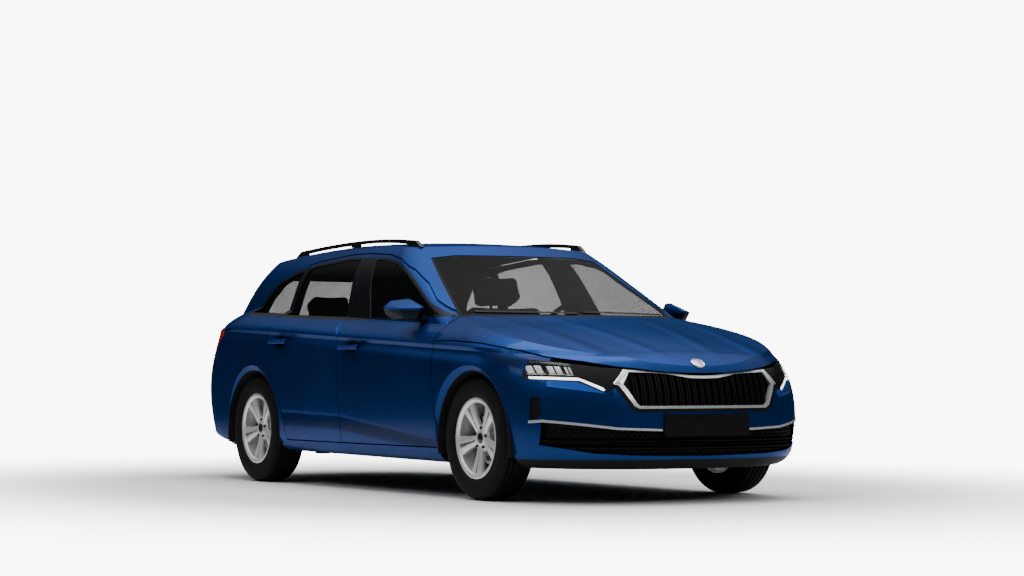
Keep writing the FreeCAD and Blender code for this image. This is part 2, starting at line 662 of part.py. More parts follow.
placed_piece("black_trim", Part.makeCompound(solids(splitter) + solids(corner_fins)
                                            + solids(REAR_BUMPER_PANEL.common(under_tail))))

frame_ring = front_view(doubled(GRILLE_FRAME), 0, 2050, 2500).cut(
    front_view(doubled(GRILLE_HOLE), 0, 2050, 2500))
placed_piece("bright_trim", Part.makeCompound(
    solids(layer(-3, 20, frame_ring).cut(bonnet_zone(GAP))) + solids(layer(-3, 8, strip_zone), 500)))


def slats(zone):
    """Pairs of upright slats across a zone, following the nose."""
    count = int(size("slat_count") / 2)
    pitch = 2 * out(420) / count
    half = size("slat_wall") / 2
    blades = []
    for i in range(count // 2):
        for side in (-1, 1):
            y = -(i + 0.5) * pitch + side * (half + 4)
            blades.append(slab(at(2050), NOSE + 50, y - half, y + half, 400, 800))
    skin = layer(size("grille_sink"), size("grille_sink") + size("slat_depth") + 2, right_half(zone))
    return both(skin.common(Part.makeCompound(blades)))


backing_depth = size("grille_sink") + size("slat_depth")
grille_back = layer(backing_depth, backing_depth + 8, nose_zone(GRILLE_RECESS, -SEAM, 2050))
margin_ring = nose_zone(GRILLE_RECESS, -SEAM, 2050).cut(nose_zone(GRILLE_FRAME, SEAM, 2050))
grille_margin = layer(2, backing_depth + 8, margin_ring)
upper_grille = grille_back.fuse(solids(slats(nose_zone(GRILLE_HOLE, -SEAM, 2050)), 100)
                                + solids(grille_margin, 100))
bars = Part.makeCompound([slab(at(1950), NOSE, -900, 900, z, z + 8) for z in (283, 318)])
intake_zone = nose_zone(INTAKE, -SEAM)
intake_bars = layer(10, backing_depth + 2, bars.common(intake_zone))
lower_grille = layer(backing_depth, backing_depth + 8, intake_zone).fuse(solids(intake_bars, 500))
placed_piece("grilles", Part.makeCompound(solids(upper_grille) + solids(lower_grille)))

lens_depth = size("lens_wall")
lamp_depth = size("lamp_depth")
placed_piece("headlamps", HEADLAMP_PANEL.cut(nose(lens_depth)))
bucket = layer(lens_depth + SEAM, lamp_depth, headlamp_zone(-SEAM)).cut(
    layer(lens_depth, lamp_depth - 6, headlamp_zone(-12)))
placed_piece("headlamp_housings", bucket.cut(bonnet_zone(GAP)))

# ------------------------------------------------------------------------------------------------
# Roof rails, mirrors, wheel arch liners
# ------------------------------------------------------------------------------------------------
half_rail = size("rail_width") / 2
rail_plan = [(x, y - half_rail) for x, y in RAIL_PLAN] + [(x, y + half_rail) for x, y in RAIL_PLAN[::-1]]
rail_zone = plan_view([(x, -y) for x, y in rail_plan], 0, up(1200), up(1700))
rail_ends = side_view([(312, 1350), (304, 1386), (250, 1420), (120, 1490), (-1110, 1490), (-1236, 1412),
                       (-1292, 1386), (-1302, 1350)])
rail_feet = side_view([(400, 1200), (400, 1500), (168, 1500), (168, 1200)]).fuse(
    [side_view([(-1400, 1200), (-1400, 1500), (-1158, 1500), (-1158, 1200)]),
     side_view([(-520, 1200), (-520, 1500), (-440, 1500), (-440, 1200)])])
rail_body = roof_cap(-size("rail_rise")).common(rail_zone).common(rail_ends)
rail = rail_body.cut(roof_cap(-size("rail_gap"))).fuse(rail_body.common(rail_feet)).cut(roof_cap(-SEAM))
placed_piece("roof_rails", both(largest(rail)))


def ellipse_at(x, y, z, half_length, half_height):
    """Closed elliptical wire standing across Y."""
    curve = Part.Ellipse(Vector(x, y, z), max(half_length, half_height), min(half_length, half_height))
    curve.Axis = Vector(0, 1, 0)
    curve.XAxis = Vector(1, 0, 0)
    return Part.Wire([curve.toShape()])


MIRROR = ((-840, 886, 1010, 42, 38), (-880, 838, 1013, 64, 57), (-930, 768, 1012, 68, 62),
          (-975, 700, 1006, 56, 48), (-1004, 650, 1001, 28, 20))
mirror_shell = Part.makeLoft([ellipse_at(at(x), out(y), up(z), a, b) for y, x, z, a, b in MIRROR], True)
mirror_face = Part.makeBox(400, 400, 400, Vector(-400, -200, -200))
mirror_face.Placement = Placement(Vector(at(722), out(-930), up(1010)), Rotation(Vector(0, 0, 1), -45))
mirror_arm = slab(at(800), at(905), out(-895), out(-700), up(955), up(982))
mirror = mirror_shell.cut(mirror_face).fuse(mirror_arm).cut([lower_body(-SEAM), greenhouse(-SEAM)])
pair("mirror", largest(mirror))


def liner(axle, inner, outer):
    """Right-hand wheel arch liner: barrel and inner wall, open below and for the axle."""
    centre = Vector(axle + size("arch_shift"), -outer, HUB_HEIGHT - size("arch_drop"))
    radius, wall = ARCH - SEAM, size("liner_wall")
    barrel = Part.makeCylinder(radius, outer - inner, centre, Vector(0, 1, 0))
    hollow = Part.makeCylinder(radius - wall, outer - inner - wall, centre, Vector(0, 1, 0))
    foot = slab(centre.x - 500, centre.x + 500, -1000, 0, -100, 235)
    port = slab(axle - 150, axle + 150, -inner - 60, 0, -100, 430)
    return barrel.cut([hollow, foot, port])


LINER_EDGE = out(884)
LINERS = [liner(FRONT_AXLE, size("front_well") + SEAM, LINER_EDGE),
          liner(REAR_AXLE, size("rear_well") + SEAM, LINER_EDGE)]
placed_piece("wheel_arch_liners", Part.makeCompound([part for one in LINERS for part in both(one).Solids]))

# ------------------------------------------------------------------------------------------------
# Cabin
# ------------------------------------------------------------------------------------------------
def seat(x, y, width):
    """Cushion, backrest and headrest of one seat."""
    cushion = rounded_box(x - 250, x + 270, y - width / 2, y + width / 2, FLOOR + 45, FLOOR + 235, 45)
    back = rounded_box(-62, 62, -width / 2, width / 2, -40, 610, 45)
    back.Placement = Placement(Vector(x - 230, y, FLOOR + 195), Rotation(Vector(0, 1, 0), -20))
    head = rounded_box(-48, 48, -130, 130, 632, 810, 38).fuse(
        [Part.makeCylinder(9, 130, Vector(0, s * 55, 560)) for s in (-1, 1)])
    head.Placement = back.Placement
    return cushion.fuse([back, head])


seat_base = slab(at(60) - 200, at(60) + 210, -size("seat_spread") - 190, -size("seat_spread") + 190,
                 FLOOR + SEAM, FLOOR + 115)
placed_piece("front_seats", both(seat(at(60), -size("seat_spread"), size("seat_width")).fuse(seat_base)))

BENCH_HALF = out(620)
bench = rounded_box(at(-1010), at(-520), -BENCH_HALF, BENCH_HALF, FLOOR + 45, FLOOR + 235, 45)
bench_back = rounded_box(-72, 72, -BENCH_HALF, BENCH_HALF, -40, 570, 45)
bench_back = bench_back.fuse([rounded_box(-40, 40, y - 120, y + 120, 560, 700, 34) for y in (-370, 0, 370)])
bench_back.Placement = Placement(Vector(at(-990), 0, FLOOR + 195), Rotation(Vector(0, 1, 0), -22))
bench_base = slab(at(-960), at(-560), -BENCH_HALF + 60, BENCH_HALF - 60, FLOOR + SEAM, FLOOR + 115)
placed_piece("rear_bench", bench.fuse([bench_back, bench_base]))

placed_piece("dashboard", side_view(DASH_SIDE).common(lower_body(DEPTH + size("dash_clear"))))

pillar_zone = side_view(B_PILLAR, 0, -1000, 0)
pillar_low = lower_body(DEPTH + 9).common(slab(-4000, 4000, -1000, 0, FLOOR + SEAM, 940)).cut(
    lower_body(DEPTH + 9 + size("pillar_wall")))
headlining = roof_cap(size("roof_depth") + SEAM)
pillar_top = greenhouse(FRAME + 9).cut(greenhouse(FRAME + size("pillar_wall"))).common(headlining)
pillar_head = greenhouse(FRAME + SEAM).cut(greenhouse(FRAME + size("pillar_wall"))).common(headlining).common(
    slab(-4000, 4000, -1000, 0, up(1367), up(1420)))
placed_piece("inner_pillars", both(pillar_low.fuse([pillar_top, pillar_head]).common(pillar_zone)))

# ------------------------------------------------------------------------------------------------
# Plain pieces, each property tied to the sheet
# ------------------------------------------------------------------------------------------------
FRONT = "(Sizes.car_length / 2 - Sizes.front_overhang)"
REAR = f"({FRONT} - Sizes.wheel_base)"
HUB = "Sizes.tyre_radius"
HUB_END = "(Sizes.track / 2 + Sizes.rim_width / 2 - 24)"
KING = "(Sizes.track / 2 - Sizes.kingpin_inset)"
ACROSS = Rotation(Vector(1, 0, 0), -90)


def tied(kind, label, base, rotation=Rotation(), **expressions):
    """Primitive whose sizes and place follow the sheet."""
    part = DOC.addObject(kind, label)
    part.Placement = Placement(Vector(), rotation)
    for name, expression in expressions.items():
        part.setExpression(name, str(expression))
    for axis, expression in zip("xyz", base):
        part.setExpression(f"Placement.Base.{axis}", str(expression))
    return part


def box(label, base, length, width, height):
    return tied("Part::Box", label, base, Length=length, Width=width, Height=height)


def barrel(label, base, radius, height, rotation=ACROSS):
    return tied("Part::Cylinder", label, base, rotation, Radius=radius, Height=height)


def fused(label, parts):
    whole = DOC.addObject("Part::MultiFuse", label)
    whole.Shapes = parts
    whole.Label = label
    return whole


def less(label, base, tool):
    rest = DOC.addObject("Part::Cut", label)
    rest.Base, rest.Tool = base, tool
    rest.Label = label
    return rest


SUBFRAME_TOP = BAY_FLOOR + 35
box("engine_block", (f"{FRONT} - 160", "-Sizes.engine_width / 2", f"{SUBFRAME_TOP} + Sizes.seam"),
    "Sizes.engine_length", "Sizes.engine_width", "Sizes.engine_height")
front_gear = [box("Subframe", (f"{FRONT} - 200", -400, f"{BAY_FLOOR} + Sizes.seam"), 360, 800,
                  f"{SUBFRAME_TOP - BAY_FLOOR} - Sizes.seam")]
for name, sign in (("Right", -1), ("Left", 1)):
    low = f"-{KING} - 24" if sign < 0 else "380"
    front_gear.append(box(f"Arm{name}", (f"{FRONT} - 45", low, BAY_FLOOR + 2), 90, f"{KING} - 356",
                          f"{SUBFRAME_TOP - BAY_FLOOR} - 9"))
    front_gear.append(barrel(f"Strut{name}", (FRONT, f"{sign} * ({KING} - 190.5)", BAY_FLOOR + 5), 36,
                             f"{HUB} - Sizes.arch_drop + {HUB} + Sizes.arch_clear - Sizes.liner_wall"
                             f" - {BAY_FLOOR + 11}", Rotation()))
ARM_TOP = f"{SUBFRAME_TOP - 7}"
CARRIER = f"({KING} - 105.5)"
CARRIER_WALL = 30
fused("front_suspension", front_gear)
for name, sign in (("right", -1), ("left", 1)):
    start = f"-{HUB_END}" if sign < 0 else CARRIER
    fused(f"knuckle_{name}", [
        barrel(f"Stub{name.title()}", (FRONT, start, HUB), "Sizes.axle_radius", f"{HUB_END} - {CARRIER}"),
        barrel(f"Carrier{name.title()}",
               (FRONT, f"-{CARRIER} - {CARRIER_WALL}" if sign < 0 else CARRIER, HUB), 74, CARRIER_WALL),
        barrel(f"Post{name.title()}", (FRONT, f"{sign} * {KING}", f"{ARM_TOP} + Sizes.seam"), 17,
               f"{HUB} - {ARM_TOP} - Sizes.seam", Rotation())])
fused("rear_axle", [
    barrel("AxleTube", (REAR, f"-{HUB_END}", HUB), "Sizes.axle_radius", f"2 * {HUB_END}"),
    box("SeatRight", (f"{REAR} - 45", -560, "Sizes.floor_height + Sizes.seam"), 90, 70,
        f"{HUB} - Sizes.floor_height"),
    box("SeatLeft", (f"{REAR} - 45", 490, "Sizes.floor_height + Sizes.seam"), 90, 70,
        f"{HUB} - Sizes.floor_height")])
box("front_plate", ("Sizes.car_length / 2 - 4 - Sizes.plate_wall", "-Sizes.plate_width / 2", PLATE_LOW),
    "Sizes.plate_wall", "Sizes.plate_width", "Sizes.plate_height")
box("rear_plate", (f"{PLATE_SHELF} - Sizes.seam - Sizes.plate_wall", "-Sizes.plate_width / 2",
                   REAR_PLATE_LOW), "Sizes.plate_wall", "Sizes.plate_width", "Sizes.plate_height")
box("load_floor", (at(-2040), "-Sizes.rear_well - Sizes.seam / 2", "Sizes.load_height"),
    at(-1150) - at(-2040), "2 * Sizes.rear_well + Sizes.seam", "Sizes.load_wall")

# Steering wheel in its own axes, leant back on its column.
WHEEL_LEAN = Rotation(Vector(0, 1, 0), -68)
wheel_rim = tied("Part::Torus", "WheelRim", (0, 0, 0), Radius1="Sizes.wheel_rim", Radius2=15)
wheel_hub = barrel("WheelHub", (0, 0, -30), 58, 45, Rotation())
wheel_bar = box("WheelBar", (-16, "-Sizes.wheel_rim + 8", -8), 32, "2 * Sizes.wheel_rim - 16", 16)
wheel_leg = box("WheelLeg", ("-Sizes.wheel_rim + 8", -14, -8), "Sizes.wheel_rim - 8", 28, 16)
column = barrel("Column", (0, 0, -310), 24, 300, Rotation())
whole_wheel = fused("WholeWheel", [wheel_rim, wheel_hub, wheel_bar, wheel_leg, column])
whole_wheel.Placement = Placement(Vector(at(430), 370, 900), WHEEL_LEAN)
dash_tool = DOC.addObject("Part::Feature", "DashTool")
dash_tool.Shape = side_view(DASH_SIDE, SEAM, -700, 700)
less("steering_wheel", whole_wheel, dash_tool)

# ------------------------------------------------------------------------------------------------
# Wheels: a revolved tyre, and a revolved rim with its spoke windows pocketed round the hub
# ------------------------------------------------------------------------------------------------
def origin_plane(body, role):
    return next(item for item in body.Origin.OriginFeatures if item.Role == role)


def sketch(body, label, role, corners):
    """Closed polygon on an origin plane; each corner is a pair of expressions."""
    flat = body.newObject("Sketcher::SketchObject", label)
    flat.AttachmentSupport = [(origin_plane(body, role), "")]
    flat.MapMode = "FlatFace"
    points = [tuple(SHEET.evalExpression(text) for text in corner) for corner in corners]
    points = [Vector(float(x), float(y), 0) for x, y in points]
    for i, point in enumerate(points):
        flat.addGeometry(Part.LineSegment(point, points[(i + 1) % len(points)]), False)
    for i in range(len(points)):
        flat.addConstraint(Sketcher.Constraint("Coincident", i, 2, (i + 1) % len(points), 1))
    for i, (point, corner) in enumerate(zip(points, corners)):
        for kind, value, text in (("DistanceX", point.x, corner[0]), ("DistanceY", point.y, corner[1])):
            ends = (-1, 1, i, 1) if value > 0 else (i, 1, -1, 1)
            number = flat.addConstraint(Sketcher.Constraint(kind, *ends, abs(value)))
            flat.setExpression(f"Constraints[{number}]", text if value > 0 else f"-({text})")
    return flat


def revolution(body, label, profile):
    turned = body.newObject("PartDesign::Revolution", label)
    turned.Profile = profile
    turned.ReferenceAxis = (profile, ["V_Axis"])
    turned.Angle = 360
    return turned


def cut_round(body, label, profile, count):
    """Pocket through everything, repeated round the wheel's axle."""
    pocket = body.newObject("PartDesign::Pocket", label)
    pocket.Profile = profile
    pocket.Type = "ThroughAll"
    pocket.Midplane = True
    DOC.recompute()
    ring = body.newObject("PartDesign::PolarPattern", f"{label}Ring")
    ring.Originals = [pocket]
    ring.Axis = (origin_plane(body, "Y_Axis"), [""])
    ring.Angle = 360
    ring.setExpression("Occurrences", count)
    body.Tip = ring
    DOC.recompute()


R, W, B = "Sizes.tyre_radius", "Sizes.tyre_width / 2", "Sizes.rim_radius"
BEAD = "(Sizes.rim_width / 2 - 8)"
TYRE_HALF = [(B, f"{BEAD}"), (f"{B} + 14", f"{BEAD} + 4"), (f"{B} + 42", W), (f"{R} - 45", W),
             (f"{R} - 12", f"0.86 * {W}"), (R, f"0.66 * {W}")]
tyre_body = DOC.addObject("PartDesign::Body", "TyreBody")
tyre_profile = sketch(tyre_body, "TyreProfile", "XY_Plane",
                      TYRE_HALF + [(x, f"-({y})") for x, y in TYRE_HALF[::-1]])
revolution(tyre_body, "TyreSolid", tyre_profile)

F, RIM = "(Sizes.rim_width / 2)", "(Sizes.rim_radius - Sizes.seam)"
BORE = "(Sizes.axle_radius + Sizes.running_gap)"
RIM_PROFILE = [
    (BORE, f"20 - {F}"), (BORE, f"84 - {F}"), ("Sizes.hub_radius", f"84 - {F}"),
    ("Sizes.hub_radius", f"40 - {F}"), ("Sizes.rim_radius - 14", f"26 - {F}"),
    ("Sizes.rim_radius - 14", f"{F} - 10"), ("Sizes.rim_radius - 6", f"{F} + 4"),
    ("Sizes.rim_radius + 12", f"{F} + 4"), ("Sizes.rim_radius + 12", f"{F} - 2"), (RIM, f"{F} - 3"),
    (RIM, f"3 - {F}"), ("Sizes.rim_radius + 12", f"2 - {F}"), ("Sizes.rim_radius + 12", f"-4 - {F}"),
    ("Sizes.rim_radius - 2", f"-4 - {F}"), ("Sizes.rim_radius - 12", f"4 - {F}"),
    ("Sizes.hub_radius + 20", f"12 - {F}"), ("Sizes.hub_radius - 20", f"20 - {F}"),
]
rim_body = DOC.addObject("PartDesign::Body", "RimBody")
revolution(rim_body, "RimSolid", sketch(rim_body, "RimProfile", "XY_Plane", RIM_PROFILE))


def window(angle, corners):
    """Spoke window's corners, given as parts of the bead seat radius about its own middle line."""
    c, s = math.cos(math.radians(angle)), math.sin(math.radians(angle))
    turned = [(x * c - z * s, x * s + z * c) for x, z in corners]
    return [(f"Sizes.rim_radius * ({x:.5f})", f"Sizes.rim_radius * ({z:.5f})") for x, z in turned]


BETWEEN_PAIRS = [(-0.05, 0.46), (0.05, 0.46), (0.165, 0.82), (0.08, 0.9), (-0.08, 0.9), (-0.165, 0.82)]
WITHIN_PAIR = [(-0.013, 0.5), (0.013, 0.5), (0.062, 0.87), (0.04, 0.9), (-0.04, 0.9), (-0.062, 0.87)]
cut_round(rim_body, "WideWindow", sketch(rim_body, "WideOutline", "XZ_Plane", window(-4, BETWEEN_PAIRS)),
          "Sizes.spoke_count")
cut_round(rim_body, "Slot", sketch(rim_body, "SlotOutline", "XZ_Plane", window(32, WITHIN_PAIR)),
          "Sizes.spoke_count")

for end, axle in (("front", FRONT), ("rear", REAR)):
    for side, sign, turn in (("right", -1, 0), ("left", 1, 180)):
        for name, body in (("tyre", tyre_body), ("rim", rim_body)):
            copy = DOC.addObject("Part::Compound", f"{name}_{end}_{side}")
            copy.Links = [body]
            copy.Label = f"{name}_{end}_{side}"
            copy.Placement = Placement(Vector(), Rotation(Vector(0, 0, 1), turn))
            copy.setExpression("Placement.Base.x", axle)
            copy.setExpression("Placement.Base.y", f"{sign} * Sizes.track / 2")
            copy.setExpression("Placement.Base.z", HUB)

# ------------------------------------------------------------------------------------------------
# Export
# ------------------------------------------------------------------------------------------------
DOC.recompute()
shaped = [thing for thing in DOC.Objects
          if hasattr(thing, "Shape") and not thing.isDerivedFrom("App::Origin")]
for thing in shaped:
    if {"Invalid", "Error"} & set(thing.State):
        raise RuntimeError(f"{thing.Label} failed to recompute")
NODES = {thing.Label: thing for thing in shaped if thing.Label == thing.Label.lower()}
os.makedirs("parts", exist_ok=True)
for label, thing in NODES.items():
    if thing.Shape.isNull() or not thing.Shape.isValid():
        raise RuntimeError(f"{label} is not a valid shape")
    thing.Shape.exportStep(f"parts/{label}.step")
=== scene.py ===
"""Looks of the station wagon: paint, glass, lamps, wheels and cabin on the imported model."""
import logging
import math
from dataclasses import dataclass
from enum import Enum
from typing import Callable, Iterable, Sequence, Union

import bmesh
import bpy
from mathutils import Matrix, Vector
from mathutils.bvhtree import BVHTree


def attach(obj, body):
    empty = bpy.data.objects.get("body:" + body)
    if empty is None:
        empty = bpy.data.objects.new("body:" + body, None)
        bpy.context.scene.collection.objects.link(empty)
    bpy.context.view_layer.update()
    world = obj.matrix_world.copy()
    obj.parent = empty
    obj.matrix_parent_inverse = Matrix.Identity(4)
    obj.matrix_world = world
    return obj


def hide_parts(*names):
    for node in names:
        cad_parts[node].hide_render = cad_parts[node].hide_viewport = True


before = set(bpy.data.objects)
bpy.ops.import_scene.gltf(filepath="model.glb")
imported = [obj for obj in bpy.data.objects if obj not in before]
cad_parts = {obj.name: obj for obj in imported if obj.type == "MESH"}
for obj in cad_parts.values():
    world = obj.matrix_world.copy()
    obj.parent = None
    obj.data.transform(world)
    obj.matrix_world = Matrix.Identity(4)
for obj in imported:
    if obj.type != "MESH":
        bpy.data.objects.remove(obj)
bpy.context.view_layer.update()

LOG = logging.getLogger("station_wagon")
Number = Union[int, float]
Point = tuple[float, float, float]
Colour = tuple[float, float, float]
Outline = Sequence[tuple[float, float]]
Box = Sequence[Point]  # two opposite corners

HUB_HEIGHT = 0.326
AXLES = {"front": 1.453, "rear": -1.233}
HALF_TRACK = 0.7715
SIDES = {"right": -1, "left": 1}
EDGE = 0.0006  # half width of the soft edge between two colours, in metres


# ---- Shader building ---------------------------------------------------------------------------
class Signal:
    """A socket of a node tree, which Python's operators turn into Math nodes."""

    def __init__(self, shader: "Shader", socket: bpy.types.NodeSocket) -> None:
        """Wraps one output socket."""
        self.shader = shader
        self.socket = socket

    def _maths(self, operation: str, *operands: "Signal | Number") -> "Signal":
        """Output of a Math node with these operands."""
        return self.shader.node("ShaderNodeMath", {"operation": operation}, dict(enumerate(operands)))

    def __add__(self, other: "Signal | Number") -> "Signal":
        """This plus other."""
        return self._maths("ADD", self, other)

    __radd__ = __add__

    def __sub__(self, other: "Signal | Number") -> "Signal":
        """This less other."""
        return self._maths("SUBTRACT", self, other)

    def __rsub__(self, other: Number) -> "Signal":
        """Other less this."""
        return self._maths("SUBTRACT", other, self)

    def __mul__(self, other: "Signal | Number") -> "Signal":
        """This times other."""
        return self._maths("MULTIPLY", self, other)

    __rmul__ = __mul__

    def __abs__(self) -> "Signal":
        """Size of this, without its sign."""
        return self._maths("ABSOLUTE", self)

    def sine(self) -> "Signal":
        """Sine of this, in radians."""
        return self._maths("SINE", self)

    def larger(self, other: "Signal | Number") -> "Signal":
        """The larger of this and other."""
        return self._maths("MAXIMUM", self, other)

    def smaller(self, other: "Signal | Number") -> "Signal":
        """The smaller of this and other."""
        return self._maths("MINIMUM", self, other)

    def angle_from(self, other: "Signal") -> "Signal":
        """Angle whose tangent is this over other, in radians."""
        return self._maths("ARCTAN2", self, other)

    def power(self, exponent: Number) -> "Signal":
        """This to a power."""
        return self._maths("POWER", self, exponent)

    def rise(self, start: Number, end: Number) -> "Signal":
        """Smooth 0 to 1 mask as this goes from start to end."""
        return self.shader.node("ShaderNodeMapRange", {"interpolation_type": "SMOOTHSTEP"},
                                {"Value": self, "From Min": start, "From Max": end})

    def above(self) -> "Signal":
        """1 where this is over 0, with a narrow soft edge."""
        return self.rise(-EDGE, EDGE)


class Shader:
    """A material under construction."""

    def __init__(self, name: str) -> None:
        """Starts an empty material.

        Args:
            name: the material's name.
        """
        self.material = bpy.data.materials.new(name)
        self.material.use_nodes = True
        self.tree = self.material.node_tree
        self.tree.nodes.clear()
        self.place = self.node("ShaderNodeTexCoord", {}, {}, "Object")
        apart = self.node_raw("ShaderNodeSeparateXYZ", {}, {"Vector": self.place})
        self.x, self.y, self.z = (Signal(self, apart.outputs[axis]) for axis in "XYZ")

    def node_raw(self, kind: str, settings: dict, inputs: dict) -> bpy.types.Node:
        """Adds a node.

        Args:
            kind: the node's type.
            settings: its properties, set before its sockets.
            inputs: values or signals by socket name or number.

        Returns:
            The node itself.
        """
        node = self.tree.nodes.new(kind)
        for name, value in settings.items():
            setattr(node, name, value)
        for name, value in inputs.items():
            socket = node.inputs[name]
            if isinstance(value, Signal):
                self.tree.links.new(value.socket, socket)
            elif isinstance(value, tuple) and len(value) == 3 and socket.type == "RGBA":
                socket.default_value = (*value, 1.0)
            else:
                socket.default_value = value
        return node

    def node(self, kind: str, settings: dict, inputs: dict, output: Union[str, int] = 0) -> Signal:
        """Adds a node and returns one of its outputs."""
        return Signal(self, self.node_raw(kind, settings, inputs).outputs[output])

    def noise(self, scale: float, detail: float) -> Signal:
        """Noise of about 0 to 1 over the piece."""
        inputs = {"Vector": self.place, "Scale": scale, "Detail": detail}
        return self.node("ShaderNodeTexNoise", {}, inputs, "Fac")

    def facing(self, blend: float) -> Signal:
        """0 where the surface faces the eye and 1 at its rim."""
        return self.node("ShaderNodeLayerWeight", {}, {"Blend": blend}, "Facing")

    def mix(self, factor: "Signal | Number", low: "Signal | Colour", high: "Signal | Colour") -> Signal:
        """Colour between low and high."""
        return self.node("ShaderNodeMix", {"data_type": "RGBA"}, {0: factor, 6: low, 7: high}, 2)

    def shades(self, factor: Signal, colour: Colour, times: float) -> Signal:
        """Colour between a shade and a multiple of it."""
        return self.mix(factor, colour, tuple(times * part for part in colour))

    def bump(self, height: Signal, distance: float) -> Signal:
        """Normal from a height in units of distance."""
        return self.node("ShaderNodeBump", {}, {"Height": height, "Distance": distance, "Strength": 1.0})

    def surface(self, **inputs: "Signal | Number | Colour") -> bpy.types.Material:
        """Ends the material with a Principled surface.

        Args:
            inputs: the surface's sockets, with _ for a space.

        Returns:
            The finished material.
        """
        sockets = {name.replace("_", " "): value for name, value in inputs.items()}
        shine = self.node("ShaderNodeBsdfPrincipled", {}, sockets)
        self.node_raw("ShaderNodeOutputMaterial", {}, {"Surface": shine})
        return self.material


Mask = Callable[[Shader], Signal]


# ---- Where colours change and panels crease, in metres on the car ------------------------------
BELT = ((1.06, 0.958), (0.97, 0.972), (-0.05, 0.968), (-1.02, 1.004))
DOOR_HEADS = ((1.02, 0.972), (0.93, 1.000), (0.771, 1.056), (0.604, 1.150), (0.453, 1.230), (0.279, 1.298),
              (0.110, 1.329), (-0.401, 1.348), (-0.799, 1.322), (-0.950, 1.304))
QUARTER_WINDOW = ((-1.000, 1.022), (-0.985, 1.130), (-0.966, 1.284), (-1.077, 1.266), (-1.272, 1.206),
                  (-1.395, 1.112), (-1.446, 1.042))
QUARTER_BORDER = 0.018
SHOULDER = ((1.95, 0.765), (1.052, 0.815), (0.596, 0.840), (-0.032, 0.877), (-0.605, 0.909), (-1.136, 0.927),
            (-1.556, 0.936))
SHOULDER_RELIEF, SCOOP_RELIEF = 5.0, 2.5
SCOOP = ((0.978, 0.326), (-0.020, 0.425), (-0.670, 0.438))
SCOOP_WIDTH = 0.09
CHIN_START, CHIN_HEIGHT, CHIN_RISE, CHIN_WIDTH = 0.52, 0.548, 0.17, 0.075  # the rise is outwards, per metre
BONNET_FOOT, BONNET_LENGTH = 1.05, 1.2
BONNET_EDGES = ((0.32, 0.16, 0.10, 0.13, 0.8), (0.61, 0.13, 0.12, 0.12, 1.0))  # start, taper, widths, relief
# Middles and half sizes of the painted shade in the door-handle recesses.
REAR_CUP, FRONT_CUP, CUP_HALF = (-0.806, 0.846), (0.122, 0.804), (0.068, 0.040)
MIRROR_SPLIT, MIRROR_ARM = 1.012, 0.846
SCREEN_FOOT, SCREEN_HEAD, SCREEN_HALF, SCREEN_TAPER, SCREEN_BORDER = 0.992, 1.322, 0.702, 0.45, 0.022


def line_height(x: Signal, points: Outline) -> Signal:
    """Height of a broken line over x.

    Args:
        x: station of the shaded point.
        points: (x, z) corners in falling x.

    Returns:
        The line's height at the shaded point.
    """
    height: "Signal | float" = points[0][1]
    for (x0, z0), (x1, z1) in zip(points, points[1:]):
        share = (x0 - x).larger(0.0).smaller(x0 - x1)
        height = share * ((z1 - z0) / (x0 - x1)) + height
    return height


def inside(shader: Shader, corners: Outline, grow: float) -> Signal:
    """Mask of a convex outline in the (x, z) plane.

    Args:
        shader: the material being made.
        corners: its corners, anticlockwise.
        grow: metres by which it is widened.

    Returns:
        1 inside and 0 outside.
    """
    nearest: "Signal | None" = None
    for (x0, z0), (x1, z1) in zip(corners, [*corners[1:], corners[0]]):
        length = math.hypot(x1 - x0, z1 - z0)
        a, b = (z0 - z1) / length, (x1 - x0) / length
        depth = shader.x * a + shader.z * b + (grow - a * x0 - b * z0)
        nearest = depth if nearest is None else nearest.smaller(depth)
    return nearest.above()


def door_frame_mask(shader: Shader) -> Signal:
    """Black frames and mirror sail above the belt."""
    belt, head = line_height(shader.x, BELT), line_height(shader.x, DOOR_HEADS)
    return (shader.z - belt).above().smaller((head - shader.z).above())


def quarter_surround(shader: Shader) -> Signal:
    """Black border round the rear quarter window."""
    return inside(shader, QUARTER_WINDOW, QUARTER_BORDER) * abs(shader.y).rise(0.5, 0.51)


def ridge(distance: Signal, width: float) -> Signal:
    """Pressed edge: a rise to one side of a line that fades out over width."""
    return distance.rise(-0.009, 0.009) * (1 - distance.rise(0.0, width))


def crest(distance: Signal, before: float, beyond: float) -> Signal:
    """Soft edge: highest on its line, and easing out over a width on either side."""
    return (distance.rise(-before, 0.0) * (1 - distance.rise(0.0, beyond))).power(2.0)


def side_crease(shader: Shader) -> Signal:
    """Shoulder edge that runs along the car below the glass."""
    return crest(shader.z - line_height(shader.x, SHOULDER), 0.12, 0.13) * SHOULDER_RELIEF


def door_crease(shader: Shader) -> Signal:
    """Shoulder edge and the scoop above the sill."""
    scoop = line_height(shader.x, SCOOP)
    return side_crease(shader) - ridge(scoop - shader.z, SCOOP_WIDTH) * SCOOP_RELIEF


def bumper_crease(shader: Shader) -> Signal:
    """Edge under each headlamp, with a facet above it that faces the sky.

    Args:
        shader: the material being made.

    Returns:
        The height of the pressing.
    """
    side = abs(shader.y)
    line = CHIN_HEIGHT + (side - CHIN_START) * CHIN_RISE
    return ridge(shader.z - line, CHIN_WIDTH) * side.rise(CHIN_START - 0.02, CHIN_START + 0.04)


def bonnet_crease(shader: Shader) -> Signal:
    """Two pairs of edges that draw together towards the nose.

    Args:
        shader: the material being made.

    Returns:
        The height of the pressing.
    """
    ahead = (shader.x - BONNET_FOOT) * (1 / BONNET_LENGTH)
    inner, outer = (crest(abs(shader.y) - (start - taper * ahead), before, beyond) * relief
                    for start, taper, before, beyond, relief in BONNET_EDGES)
    return (inner + outer) * (1 - ahead.rise(0.80, 1.0))


